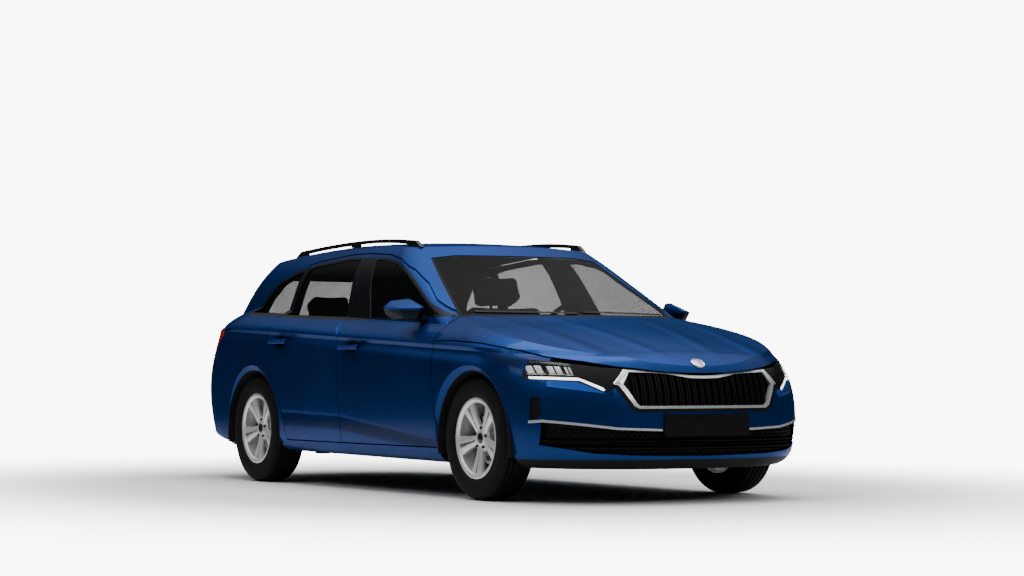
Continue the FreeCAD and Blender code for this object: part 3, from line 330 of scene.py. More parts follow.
def painted_handle_shade(shader: Shader) -> Signal:
    """Painted shade in the hand recesses behind the door handles: the paint is darkened there in place of
    the shade that falls in them.

    Args:
        shader: the material being made.

    Returns:
        1 in the middle of a recess and 0 outside.
    """
    ahead = shader.x.rise(-0.36, -0.34)
    across, above = ((place - rear - ahead * (front - rear)) * (1 / half) for place, rear, front, half in
                     zip((shader.x, shader.z), REAR_CUP, FRONT_CUP, CUP_HALF))
    return (across * across + above * above).rise(1.1, 0.9) * abs(shader.y).rise(0.914, 0.908)


def mirror_foot(shader: Shader) -> Signal:
    """Black lower half and arm of a door mirror."""
    arm = abs(shader.y).rise(MIRROR_ARM, MIRROR_ARM - 0.004)
    return (shader.z - MIRROR_SPLIT).rise(0.0008, -0.0008).larger(arm)


def windscreen_band(shader: Shader) -> Signal:
    """Black printed border of the windscreen.

    Args:
        shader: the material being made.

    Returns:
        1 on the border and 0 inside it.
    """
    half = SCREEN_HALF - (shader.z - 0.976) * SCREEN_TAPER
    foot = shader.z.rise(SCREEN_FOOT, SCREEN_FOOT - 0.006)
    head = shader.z.rise(SCREEN_HEAD, SCREEN_HEAD + 0.006)
    return foot.larger(head).larger((abs(shader.y) - half).rise(-SCREEN_BORDER, 0.004 - SCREEN_BORDER))


def wheel_offsets(shader: Shader) -> tuple[Signal, Signal, Signal]:
    """Position round the nearest axle.

    Args:
        shader: the material being made.

    Returns:
        Distances ahead of, above and from the nearest wheel's centre.
    """
    axle = shader.x.rise(-0.01, 0.01) * (AXLES["front"] - AXLES["rear"]) + AXLES["rear"]
    ahead, above = shader.x - axle, shader.z - HUB_HEIGHT
    return ahead, above, (ahead * ahead + above * above).power(0.5)


# ---- Finishes ----------------------------------------------------------------------------------
@dataclass(frozen=True)
class Paint:
    """Clear-coated metallic paint, with black areas, painted shade in the door-handle recesses and pressed
    creases where asked.
    """

    name: str
    mask: "Mask | None" = None
    height: "Mask | None" = None
    distance: float = 0.0
    colour: Colour = (0.0020, 0.030, 0.150)
    deep: Colour = (0.0010, 0.012, 0.066)
    black: Colour = (0.003, 0.003, 0.0035)
    tint: tuple[float, float, float, float] = (0.32, 0.50, 0.85, 1.0)
    flake: float = 2600.0
    metal: float = 0.7
    rough: float = 0.34
    gloss: float = 0.18
    # Share of black in the painted shade of the door-handle recesses.
    painted_shade_strength: float = 0.85

    def base(self, shader: Shader) -> Signal:
        """Blue with fine flakes and slow drift.

        Args:
            shader: the material being made.

        Returns:
            The paint's colour.
        """
        drift = shader.noise(1.3, 1.0).rise(0.3, 0.7)
        sparkle = shader.noise(self.flake, 1.0).rise(0.35, 0.8)
        low = shader.mix(drift * 0.5, self.colour, self.deep)
        return shader.mix(sparkle * 0.35, low, tuple(1.7 * part for part in self.colour))

    def make(self) -> bpy.types.Material:
        """Makes the material.

        Returns:
            The finish, under its own name.
        """
        shader = Shader(self.name)
        base, area = self.base(shader), 0.0
        if self.mask:
            area = self.mask(shader)
            # Painted shade: the paint darkens towards black in the door-handle recesses.
            shaded = shader.mix(painted_handle_shade(shader) * self.painted_shade_strength, base, self.black)
            base = shader.mix(area, shaded, self.black)
        creases = {"Normal": shader.bump(self.height(shader), self.distance)} if self.height else {}
        return shader.surface(Base_Color=base, Metallic=self.metal * (1 - area),
                              Roughness=self.rough + 0.06 * area, Coat_Weight=self.gloss - 0.17 * area,
                              Coat_Roughness=0.03, Specular_IOR_Level=0.16, Specular_Tint=self.tint,
                              **creases)


@dataclass(frozen=True)
class Moulded:
    """Grained moulded plastic or rubber."""

    name: str
    colour: Colour = (0.0032, 0.0032, 0.0034)
    rough: float = 0.55
    grain: float = 900.0
    relief: float = 0.0004

    def make(self) -> bpy.types.Material:
        """Makes the material.

        Returns:
            The finish, under its own name.
        """
        shader = Shader(self.name)
        grain = shader.noise(self.grain, 3.0)
        dust = shader.noise(7.0, 3.0).rise(0.35, 0.75)
        return shader.surface(Base_Color=shader.shades(dust * 0.6, self.colour, 1.8),
                              Roughness=self.rough + 0.12 * grain - 0.06, Specular_IOR_Level=0.12,
                              Normal=shader.bump(grain, self.relief))


@dataclass(frozen=True)
class Gloss:
    """Smooth black plastic with faint waviness."""

    name: str
    colour: Colour = (0.006, 0.006, 0.007)

    def make(self) -> bpy.types.Material:
        """Makes the material.

        Returns:
            The finish, under its own name.
        """
        shader = Shader(self.name)
        wave = shader.noise(22.0, 1.0)
        return shader.surface(Base_Color=shader.shades(wave, self.colour, 1.6), Roughness=0.1 + 0.08 * wave,
                              Coat_Weight=0.3, Coat_Roughness=0.03, Specular_IOR_Level=0.25,
                              Normal=shader.bump(wave, 0.0004))


@dataclass(frozen=True)
class Bright:
    """Polished or painted metal."""

    name: str
    colour: Colour = (0.72, 0.73, 0.75)
    rough: float = 0.12
    metal: float = 1.0

    def make(self) -> bpy.types.Material:
        """Makes the material.

        Returns:
            The finish, under its own name.
        """
        shader = Shader(self.name)
        fine = shader.noise(450.0, 2.0)
        haze = shader.noise(9.0, 2.0)
        return shader.surface(Base_Color=shader.shades(haze * 0.5, self.colour, 0.78), Metallic=self.metal,
                              Roughness=self.rough + 0.08 * haze, Normal=shader.bump(fine, 0.00008))


@dataclass(frozen=True)
class Cast:
    """Machined or cast metal turned on the axle's centre."""

    name: str
    colour: Colour = (0.42, 0.43, 0.45)
    rough: float = 0.3
    rings: float = 700.0

    def make(self) -> bpy.types.Material:
        """Makes the material.

        Returns:
            The finish, under its own name.
        """
        shader = Shader(self.name)
        radius = wheel_offsets(shader)[2]
        ring = (radius * self.rings).sine() * 0.5 + 0.5
        stain = shader.noise(26.0, 3.0)
        return shader.surface(Base_Color=shader.shades(stain, self.colour, 0.7), Metallic=0.9,
                              Roughness=self.rough + 0.15 * stain, Normal=shader.bump(ring + stain, 0.0002))


@dataclass(frozen=True)
class Tint:
    """Window glass: a dark see-through sheet with a clear gloss."""

    name: str
    border: "Mask | None" = None
    colour: Colour = (0.0030, 0.0034, 0.0035)
    low: float = 0.58

    def make(self) -> bpy.types.Material:
        """Makes the material.

        Returns:
            The finish, under its own name.
        """
        shader = Shader(self.name)
        facing = shader.facing(0.25)
        drift = shader.noise(2.0, 1.0)
        cover = self.low + 0.05 * drift + (0.95 - self.low) * facing.power(2.5)
        if self.border:
            cover = cover.larger(self.border(shader))
        return shader.surface(Base_Color=shader.shades(drift, self.colour, 1.4),
                              Roughness=0.02 + 0.02 * drift, Alpha=cover.smaller(1.0),
                              Specular_IOR_Level=0.05)


@dataclass(frozen=True)
class Lens:
    """Clear or coloured lamp cover, with a dark inner end where asked."""

    name: str
    colour: Colour = (0.06, 0.062, 0.066)
    dark: Colour = (0.006, 0.006, 0.007)
    cover: float = 0.1
    flutes: float = 0.0
    dark_within: float = 0.0

    def make(self) -> bpy.types.Material:
        """Makes the material.

        Returns:
            The finish, under its own name.
        """
        shader = Shader(self.name)
        facing = shader.facing(0.3)
        drift = shader.noise(5.0, 1.0)
        flute = ((shader.z * self.flutes).sine() * 0.5 + 0.5) if self.flutes else drift
        shade = shader.shades(0.5 * flute + 0.2 * drift, self.colour, 0.55)
        cover = self.cover + 0.35 * facing.power(2.0)
        if self.dark_within:
            inner = abs(shader.y).rise(self.dark_within + 0.012, self.dark_within)
            shade = shader.mix(inner, shade, self.dark)
            cover = cover + 0.74 * inner
        return shader.surface(Base_Color=shade, Roughness=0.03 + 0.03 * drift, Coat_Weight=0.1,
                              Coat_Roughness=0.0, Specular_IOR_Level=0.12, Alpha=cover.smaller(1.0),
                              Normal=shader.bump(flute, 0.0006))


@dataclass(frozen=True)
class Glow:
    """Lit light guide."""

    name: str
    colour: Colour = (0.93, 0.97, 1.0)
    strength: float = 2.2

    def make(self) -> bpy.types.Material:
        """Makes the material.

        Returns:
            The finish, under its own name.
        """
        shader = Shader(self.name)
        ripple = (shader.y * 900.0).sine() * 0.5 + 0.5
        shade = shader.shades(ripple * 0.25, self.colour, 0.8)
        return shader.surface(Base_Color=shade, Roughness=0.25 + 0.1 * ripple, Emission_Color=shade,
                              Emission_Strength=self.strength)


@dataclass(frozen=True)
class Cloth:
    """Woven seat cloth or headlining."""

    name: str
    colour: Colour = (0.030, 0.031, 0.034)
    thread: float = 0.0026

    def make(self) -> bpy.types.Material:
        """Makes the material.

        Returns:
            The finish, under its own name.
        """
        shader = Shader(self.name)
        turn = 2 * math.pi / self.thread
        warp = (shader.y * turn).sine() * ((shader.z + shader.x * 0.6) * turn).sine() * 0.5 + 0.5
        fuzz = shader.noise(1400.0, 3.0)
        tone = shader.noise(9.0, 3.0)
        return shader.surface(Base_Color=shader.shades(0.5 * warp + 0.4 * tone, self.colour, 2.0),
                              Roughness=0.86 + 0.1 * fuzz, Sheen_Weight=0.3, Sheen_Roughness=0.5,
                              Normal=shader.bump(warp + fuzz, 0.0005))


@dataclass(frozen=True)
class TyreRubber:
    """Tyre rubber with tread blocks and ribbed sidewall."""

    name: str
    colour: Colour = (0.004, 0.004, 0.0042)
    blocks: int = 62
    ribs: float = 220.0

    def make(self) -> bpy.types.Material:
        """Makes the material.

        Returns:
            The finish, under its own name.
        """
        shader = Shader(self.name)
        ahead, above, radius = wheel_offsets(shader)
        angle = above.angle_from(ahead)
        across = abs(shader.y) - HALF_TRACK
        chevron = angle * self.blocks + abs(across) * 60.0
        sipes = (chevron.sine() * 3.0).larger(-1.0).smaller(1.0) * radius.rise(0.306, 0.312)
        ribs = (angle * self.ribs).sine() * (radius.rise(0.262, 0.266) - radius.rise(0.276, 0.28))
        fine = shader.noise(700.0, 3.0)
        dust = shader.noise(12.0, 3.0).rise(0.4, 0.8)
        return shader.surface(Base_Color=shader.shades(dust * 0.5, self.colour, 1.9),
                              Roughness=0.62 + 0.15 * fine, Specular_IOR_Level=0.12,
                              Normal=shader.bump(sipes * 2.0 + ribs * 0.5 + fine * 0.2, 0.0012))


class Finishes:
    """Every finish of the car, each made once."""

    def __init__(self) -> None:
        """Makes the finishes."""
        self.paint = Paint("blue_paint").make()
        self.door = Paint("door_paint", door_frame_mask, door_crease, 0.006).make()
        self.side = Paint("side_paint", quarter_surround, side_crease, 0.006).make()
        self.bonnet = Paint("bonnet_paint", height=bonnet_crease, distance=0.010).make()
        self.wing = Paint("wing_paint", height=side_crease, distance=0.006).make()
        self.nose = Paint("bumper_paint", height=bumper_crease, distance=0.055).make()
        self.mirror = Paint("mirror_paint", mirror_foot).make()
        self.black = Gloss("gloss_black").make()
        self.plastic = Moulded("black_plastic").make()
        self.lining = Moulded("door_lining", (0.020, 0.020, 0.022), 0.7).make()
        self.headlining = Cloth("headlining_cloth", (0.045, 0.045, 0.044)).make()
        self.sealer = Moulded("underbody_sealer", (0.009, 0.009, 0.010), 0.8, 240.0, 0.0015).make()
        self.chrome = Bright("chrome", (0.86, 0.87, 0.89), 0.18, 0.72).make()
        self.satin = Bright("satin_metal", (0.60, 0.61, 0.63), 0.26).make()
        self.alloy = Bright("wheel_silver", (0.78, 0.79, 0.80), 0.26, 0.6).make()
        self.steel = Cast("brake_disc_steel").make()
        self.iron = Cast("cast_iron", (0.10, 0.10, 0.105), 0.5).make()
        self.mirror_glass = Bright("mirror_silver", (0.85, 0.87, 0.9), 0.01).make()
        self.window = Tint("side_glass").make()
        self.dark_window = Tint("rear_glass", low=0.55).make()
        self.windscreen = Tint("windscreen_glass", windscreen_band, low=0.50).make()
        self.lens = Lens("clear_lens", dark_within=0.655).make()
        self.red_lens = Lens("red_lens", (0.42, 0.008, 0.010), cover=0.86, flutes=900.0).make()
        self.guide = Glow("light_guide").make()
        self.reflector = Bright("lamp_reflector", (0.92, 0.93, 0.95), 0.16, 0.25).make()
        self.cloth = Cloth("seat_cloth").make()
        self.tyre = TyreRubber("tyre_rubber").make()


# ---- Mesh building -----------------------------------------------------------------------------
def add_object(name: str, data: bpy.types.ID) -> bpy.types.Object:
    """Puts a new object in the scene.

    Args:
        name: its name.
        data: what it is.

    Returns:
        The object.
    """
    item = bpy.data.objects.new(name, data)
    bpy.context.scene.collection.objects.link(item)
    return item


def add_mesh(name: str, mesh: bmesh.types.BMesh, material: bpy.types.Material) -> bpy.types.Object:
    """Ends a mesh and puts it in the scene.

    Args:
        name: its name.
        mesh: its faces.
        material: its finish.

    Returns:
        The mesh's object.
    """
    data = bpy.data.meshes.new(name)
    mesh.to_mesh(data)
    mesh.free()
    data.materials.append(material)
    return add_object(name, data)


def extent(box: Box) -> tuple[Point, Point]:
    """Lowest and highest corner of a box."""
    return tuple(map(min, *box)), tuple(map(max, *box))


class Facing(Enum):
    """The way a detail looks out from the car's skin."""

    FRONT = (1.0, 0.0, 0.0)
    BACK = (-1.0, 0.0, 0.0)


class Skin:
    """Outer surface of some CAD nodes, for laying details on."""

    def __init__(self, *nodes: str) -> None:
        """Gathers their surface.

        Args:
            nodes: the nodes' names.
        """
        verts: list[Vector] = []
        faces: list[list[int]] = []
        for node in nodes:
            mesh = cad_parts[node].data
            start = len(verts)
            verts += [vert.co.copy() for vert in mesh.vertices]
            faces += [[start + index for index in face.vertices] for face in mesh.polygons]
        self.tree = BVHTree.FromPolygons(verts, faces)

    def touch(self, point: Vector, facing: Facing) -> "Vector | None":
        """Where the skin lies beyond a point, seen from outside the car.

        Args:
            point: any point on the line of sight.
            facing: the side from which the skin is seen.

        Returns:
            The point on the skin, or None beside it.
        """
        outward = Vector(facing.value)
        start = point + outward * (6.0 - point.dot(outward))
        return self.tree.ray_cast(start, -outward)[0]


class Workpiece:
    """One new piece, from its first vertices to the object that rides on the car."""

    def __init__(self, name: str) -> None:
        """Starts an empty mesh."""
        self.name = name
        self.mesh = bmesh.new()

    def everything(self) -> list:
        """Every vertex, edge and face so far."""
        return self.mesh.verts[:] + self.mesh.edges[:] + self.mesh.faces[:]

    def prism(self, corners: Sequence[Point], path: Point, bevel: float = 0.0, segments: int = 2) -> None:
        """Adds a polygon pushed along a path.

        Args:
            corners: the polygon.
            path: the push.
            bevel: rounding of its edges.
            segments: facets of the rounding.
        """
        face = self.mesh.faces.new([self.mesh.verts.new(corner) for corner in corners])
        grown = bmesh.ops.extrude_face_region(self.mesh, geom=[face])["geom"]
        moved = [item for item in grown if isinstance(item, bmesh.types.BMVert)]
        bmesh.ops.translate(self.mesh, verts=moved, vec=Vector(path))
        if bevel:
            self.soften([*moved, *(face.verts if face.is_valid else ())], bevel, segments)

    def plate(self, outline: Outline, start: float, depth: float, bevel: float = 0.0) -> None:
        """Adds a flat (y, z) outline that starts at a height over the skin and has a depth along X."""
        self.prism([(start, y, z) for y, z in outline], (depth, 0.0, 0.0), bevel)

    def soften(self, verts: Iterable[bmesh.types.BMVert], offset: float, segments: int) -> None:
        """Rounds every edge that ends at some vertices.

        Args:
            verts: the vertices.
            offset: width of the rounding.
            segments: its facets.
        """
        edges = dict.fromkeys(edge for vert in verts for edge in vert.link_edges)
        bmesh.ops.bevel(self.mesh, geom=list(edges), offset=offset, offset_type="OFFSET", segments=segments,
                        profile=0.5, affect="EDGES", material=-1, clamp_overlap=True)

    def block(self, box: Box, bevel: float, segments: int = 2, turn: "Matrix | None" = None) -> None:
        """Adds a rounded block.

        Args:
            box: its corners.
            bevel: rounding of its edges.
            segments: facets of the rounding.
            turn: turns and moves it afterwards.
        """
        low, high = map(Vector, extent(box))
        matrix = Matrix.Translation((low + high) / 2) @ Matrix.Diagonal((*(high - low), 1.0))
        made = bmesh.ops.create_cube(self.mesh, size=1.0, matrix=matrix)["verts"]
        if turn is not None:
            bmesh.ops.transform(self.mesh, matrix=turn, verts=made)
        self.soften(made, bevel, segments)

    def lathe(self, profile: Outline, centre: Point, axis: Point, steps: int, closed: bool = True) -> None:
        """Adds a turned part.

        Args:
            profile: (radius, distance along the axis) corners.
            centre: a point on the axis.
            axis: the axis's direction.
            steps: facets round it.
            closed: joins the last corner to the first.
        """
        along = Vector(axis).normalized()
        across = along.orthogonal().normalized()
        middle = Vector(centre)
        verts = [self.mesh.verts.new(middle + across * radius + along * reach) for radius, reach in profile]
        pairs = list(zip(verts, verts[1:])) + ([(verts[-1], verts[0])] if closed else [])
        edges = [self.mesh.edges.new(pair) for pair in pairs]
        bmesh.ops.spin(self.mesh, geom=[*verts, *edges], cent=middle, axis=along, angle=2 * math.pi,
                       steps=steps, use_merge=True)
        bmesh.ops.remove_doubles(self.mesh, verts=self.mesh.verts[:], dist=1e-6)

    def bolt(self, centre: Vector, axis: Point, radius: float, height: float) -> None:
        """Adds a six-sided bolt head.

        Args:
            centre: its middle.
            axis: the way that it looks.
            radius: its radius at the foot.
            height: its height.
        """
        turn = Vector(axis).to_track_quat("Z", "Y").to_matrix().to_4x4()
        made = bmesh.ops.create_cone(self.mesh, cap_ends=True, cap_tris=False, segments=6, radius1=radius,
                                     radius2=radius * 0.9, depth=height,
                                     matrix=Matrix.Translation(centre) @ turn)["verts"]
        self.soften(made, radius * 0.12, 1)

    def slice(self, axis: int, start: float, end: float, step: float) -> None:
        """Cuts the mesh on parallel planes, so that it can bend.

        Args:
            axis: 0, 1 or 2 for planes across X, Y or Z.
            start: the first plane.
            end: the last plane.
            step: distance between planes.
        """
        normal = [float(number == axis) for number in range(3)]
        for number in range(int((end - start) / step) + 1):
            point = [(start + number * step) * part for part in normal]
            bmesh.ops.bisect_plane(self.mesh, geom=self.everything(), dist=1e-7, plane_co=point,
                                   plane_no=normal)

    def lay(self, skin: Skin, facing: Facing = Facing.FRONT, cuts: "Point | None" = None,
            twin: bool = True) -> None:
        """Bends a flat piece, drawn about the centre plane of its view, onto the skin.

        Args:
            skin: what it lies on.
            facing: the side from which the skin is seen.
            cuts: first, last and step of the planes across Y where it bends.
            twin: adds its twin on the other side of the car.
        """
        if cuts:
            self.slice(1, *cuts)
        outward = Vector(facing.value)
        reached = {vert: skin.touch(vert.co, facing) for vert in self.mesh.verts}
        seen = [(vert.co.copy(), found) for vert, found in reached.items() if found is not None]
        for vert, found in reached.items():
            place = vert.co.copy()
            nearest = found or min(seen, key=lambda pair: (pair[0] - place).length)[1]
            vert.co += outward * nearest.dot(outward)
        if twin:
            bmesh.ops.mirror(self.mesh, geom=self.everything(), axis="Y", merge_dist=1e-5)

    def turned(self, centre: Point, first: float, angles: Iterable[float]) -> None:
        """Turns what is drawn so far about Y, and repeats it.

        Args:
            centre: a point on the axis.
            first: degrees by which the first one is turned.
            angles: degrees from the first to each other one.
        """
        drawn, middle = self.everything(), Vector(centre)
        bmesh.ops.rotate(self.mesh, verts=self.mesh.verts[:], cent=middle,
                         matrix=Matrix.Rotation(math.radians(first), 3, "Y"))
        for angle in angles:
            copy = bmesh.ops.duplicate(self.mesh, geom=drawn)["geom"]
            verts = [item for item in copy if isinstance(item, bmesh.types.BMVert)]
            bmesh.ops.rotate(self.mesh, verts=verts, cent=middle,
                             matrix=Matrix.Rotation(math.radians(angle), 3, "Y"))

    def finish(self, body: str, material: bpy.types.Material, replaces: Sequence[str] = (),
               sharp: float = 35.0) -> bpy.types.Object:
        """Ends the piece.

        Args:
            body: the body that it rides on.
            material: its finish.
            replaces: CAD nodes that it stands for.
            sharp: degrees past which an edge stays sharp.

        Returns:
            The piece's object.
        """
        bmesh.ops.recalc_face_normals(self.mesh, faces=self.mesh.faces[:])
        piece = add_mesh(self.name, self.mesh, material)
        piece.data.shade_smooth()
        piece.data.set_sharp_from_angle(angle=math.radians(sharp))
        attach(piece, body)
        if replaces:
            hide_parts(*replaces)
        LOG.info("%s: %d faces on %s", self.name, len(piece.data.polygons), body)
        return piece


def dress(node: str, materials: Sequence[bpy.types.Material],
          choose: "Callable[[Vector, Vector], int] | None" = None) -> None:
    """Gives a CAD node its finishes.

    Args:
        node: the node's name.
        materials: its finishes.
        choose: picks a finish from a face's centre and normal.
    """
    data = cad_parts[node].data
    data.materials.clear()
    for material in materials:
        data.materials.append(material)
    for face in data.polygons:
        face.material_index = choose(face.center, face.normal) if choose else 0
    LOG.info("%s: dressed with %s", node, ", ".join(material.name for material in materials))


def looks_in(centre: Vector, normal: Vector) -> bool:
    """Whether a face looks into the cabin from its side."""
    return normal.y * math.copysign(1.0, centre.y) < -0.25


# ---- Sub-assemblies ----------------------------------------------------------------------------
@dataclass
class Bodywork:
    """Painted panels, glass, trim and the lower structure that the CAD already shapes."""

    finishes: Finishes
    door_inside: float = 0.84
    side_inside: float = 0.80
    sill_height: float = 0.3

    def dress(self) -> None:
        """Gives every CAD node that stays in view its finish."""
        f = self.finishes
        plain = {f.window: "window_front_right window_front_left",
                 f.dark_window: "window_rear_right window_rear_left tailgate_window quarter_windows",
                 f.windscreen: "windscreen",
                 f.iron: "knuckle_right knuckle_left engine_block front_suspension rear_axle",
                 f.sealer: "underbody wheel_arch_liners",
                 f.plastic: "black_trim load_floor steering_wheel grilles",
                 f.black: "roof_rails front_plate rear_plate headlamp_housings",
                 f.lining: "inner_pillars dashboard",
                 f.mirror: "mirror_right mirror_left",
                 f.chrome: "bright_trim",
                 f.lens: "headlamps",
                 f.red_lens: "tail_lamps tailgate_lamps"}
        for material, nodes in plain.items():
            for node in nodes.split():
                dress(node, (material,))
        self.panels()

    def panels(self) -> None:
        """Paint outside and lining or sealer inside on every panel."""
        f = self.finishes
        for side in SIDES:
            for end in AXLES:
                dress(f"door_{end}_{side}", (f.door, f.lining), self.door_face)
        dress("body_sides", (f.side, f.lining), self.side_face)
        dress("roof_panel", (f.paint, f.headlining), lambda _, normal: int(normal.z < -0.3))
        dress("front_wings", (f.wing, f.sealer), self.door_face)
        dress("bonnet", (f.bonnet, f.sealer), lambda _, normal: int(normal.z < -0.2))
        dress("tailgate", (f.paint, f.lining), lambda _, normal: int(normal.x > 0.3))
        dress("bulkhead", (f.sealer, f.lining), lambda _, normal: int(normal.x < -0.3))
        for node, paint in (("front_bumper", f.nose), ("rear_bumper", f.paint)):
            dress(node, (paint, f.plastic), lambda centre, normal: int(normal.x * centre.x < -0.4))

    def door_face(self, centre: Vector, normal: Vector) -> int:
        """1 on the inner faces of a door or wing."""
        return int(looks_in(centre, normal) and abs(centre.y) < self.door_inside)

    def side_face(self, centre: Vector, normal: Vector) -> int:
        """1 on the cabin's lining."""
        return int(looks_in(centre, normal) and centre.z > self.sill_height
                   and abs(centre.y) < self.side_inside)


@dataclass
class Corner:
    """One corner of the car, where a wheel turns."""

    finishes: Finishes
    end: str
    side: str

    @property
    def outward(self) -> int:
        """-1 on the right and 1 on the left."""
        return SIDES[self.side]

    @property
    def centre(self) -> Point:
        """Middle of the wheel."""
        return (AXLES[self.end], self.outward * HALF_TRACK, HUB_HEIGHT)

    @property
    def axle(self) -> Point:
        """The way that the axle points outwards."""
        return (0, self.outward, 0)

    @property
    def label(self) -> str:
        """The corner's end and side, as in the names of its nodes."""
        return f"{self.end}_{self.side}"


@dataclass
class Wheel(Corner):
    """Tyre, five-pair rim, bolts and cap of one wheel, drawn in (radius, distance outwards)."""

    pair_angles: tuple[float, ...] = (122.0, 50.0, -22.0, -94.0, -166.0)
    blade: tuple[Point, ...] = ((0.030, 0.004, 0.056), (0.100, 0.0045, 0.0665), (0.1935, 0.0125, 0.0790),
                                (0.1900, 0.0560, 0.0750), (0.120, 0.0350, 0.0650), (0.040, 0.0240, 0.0540))
    blade_depth: float = 0.020
    tyre_half: Outline = (
        (0.2040, 0.0760), (0.2150, 0.0830), (0.2200, 0.0930), (0.2300, 0.0985), (0.2480, 0.1022),
        (0.2700, 0.1022), (0.2760, 0.1008), (0.2900, 0.0985), (0.3060, 0.0915), (0.3155, 0.0820),
        (0.3205, 0.0720), (0.3225, 0.0640), (0.3165, 0.0625), (0.3165, 0.0575), (0.3235, 0.0560),
        (0.3250, 0.0330), (0.3180, 0.0315), (0.3180, 0.0235), (0.3255, 0.0220), (0.3260, 0.0070),
        (0.3185, 0.0055), (0.3185, 0.0010))
    hub: Outline = ((0.0285, 0.050), (0.0285, 0.058), (0.040, 0.0575), (0.068, 0.052), (0.074, 0.044),
                    (0.074, 0.010), (0.0285, 0.010))
    barrel: Outline = (
        (0.1860, 0.076), (0.1925, 0.0835), (0.1990, 0.0868), (0.2050, 0.0872), (0.2135, 0.0860),
        (0.2145, 0.0815), (0.2030, 0.0790), (0.2025, 0.030), (0.1970, 0.020), (0.1970, -0.050),
        (0.2025, -0.060), (0.2030, -0.0790), (0.2145, -0.0815), (0.2135, -0.0860), (0.2000, -0.0860),
        (0.1930, -0.070), (0.1850, -0.040), (0.1840, 0.020), (0.1885, 0.040), (0.1890, 0.060))
    cap: Outline = ((0.0, 0.061), (0.022, 0.0606), (0.0265, 0.0598), (0.0284, 0.0570), (0.0284, 0.030),
                    (0.0, 0.030))
    bolt_circle: float = 0.054
    bolt_face: float = 0.0575
    bolt_radius: float = 0.0095
    bolt_height: float = 0.010

    @property
    def turns(self) -> list[float]:
        """Degrees from upright to each pair of blades."""
        return [self.outward * (angle - 90.0) for angle in self.pair_angles]

    def at(self, radial: float, across: float, axial: float) -> Point:
        """Point in the car's axes from one drawn on a blade that points up."""
        x, y, z = self.centre
        return (x - across * self.outward, y + self.outward * axial, z + radial)

    def build(self) -> None:
        """Makes the wheel's pieces."""
        self.tyre()
        self.rim()
        self.bolts()

    def tyre(self) -> None:
        """Tyre with grooved tread."""
        work = Workpiece(f"tyre_rubber_{self.label}")
        inner = [(radius, -reach) for radius, reach in self.tyre_half[::-1]]
        work.lathe([*self.tyre_half, *inner], self.centre, self.axle, 96)
        work.finish(f"wheel_{self.label}", self.finishes.tyre, [f"tyre_{self.label}"], 50.0)

    def rim(self) -> None:
        """Pairs of flat blades, hub, barrel and outer lip."""
        work = Workpiece(f"alloy_rim_{self.label}")
        for twin in (-1, 1):
            corners = [self.at(radial, across * twin, axial) for radial, across, axial in self.blade]
            work.prism(corners[::twin], (0.0, -self.outward * self.blade_depth, 0.0), 0.0032, 3)
        first, *rest = self.turns
        work.turned(self.centre, first, [angle - first for angle in rest])
        work.lathe(self.hub, self.centre, self.axle, 60)
        work.lathe(self.barrel, self.centre, self.axle, 96)
        work.finish(f"wheel_{self.label}", self.finishes.alloy, [f"rim_{self.label}"], 28.0)

    def bolts(self) -> None:
        """Blank centre cap and a bolt between each two pairs of blades."""
        work = Workpiece(f"wheel_cap_{self.label}")
        work.lathe(self.cap, self.centre, self.axle, 40, closed=False)
        for angle in self.turns:
            turn = Matrix.Rotation(math.radians(angle + 36.0), 3, "Y")
            seat = Vector(self.centre) + Vector(self.axle) * self.bolt_face
            work.bolt(turn @ Vector((0.0, 0.0, self.bolt_circle)) + seat, self.axle, self.bolt_radius,
                      self.bolt_height)
        work.finish(f"wheel_{self.label}", self.finishes.black)


@dataclass
class Brake(Corner):
    """Disc that turns with a wheel, drawn in (radius, distance outwards), and the caliper that holds it."""

    disc: Outline = ((0.030, 0.009), (0.070, 0.009), (0.074, 0.004), (0.080, -0.012), (0.142, -0.012),
                     (0.144, -0.014), (0.144, -0.032), (0.142, -0.034), (0.080, -0.034), (0.066, -0.030),
                     (0.060, -0.002), (0.030, -0.002))
    blocks: tuple[tuple[float, ...], ...] = ((0.066, -0.062, -0.036, 0.090, 0.152, 0.010),
                                             (0.052, -0.062, 0.002, 0.147, 0.164, 0.006),
                                             (0.052, -0.010, 0.004, 0.100, 0.158, 0.005))
    lean: float = 70.0

    def build(self) -> None:
        """Makes the disc and the caliper."""
        disc = Workpiece(f"brake_disc_{self.label}")
        disc.lathe(self.disc, self.centre, self.axle, 72)
        disc.finish(f"wheel_{self.label}", self.finishes.steel)
        caliper = Workpiece(f"caliper_{self.label}")
        lean = self.lean if self.end == "rear" else -self.lean
        turn = Matrix.Translation(self.centre) @ Matrix.Rotation(math.radians(lean), 4, "Y")
        for half, inner, outer, foot, top, bevel in self.blocks:
            caliper.block(((-half, self.outward * inner, foot), (half, self.outward * outer, top)), bevel, 3,
                          turn)
        caliper.finish(f"knuckle_{self.side}" if self.end == "front" else "body", self.finishes.iron)


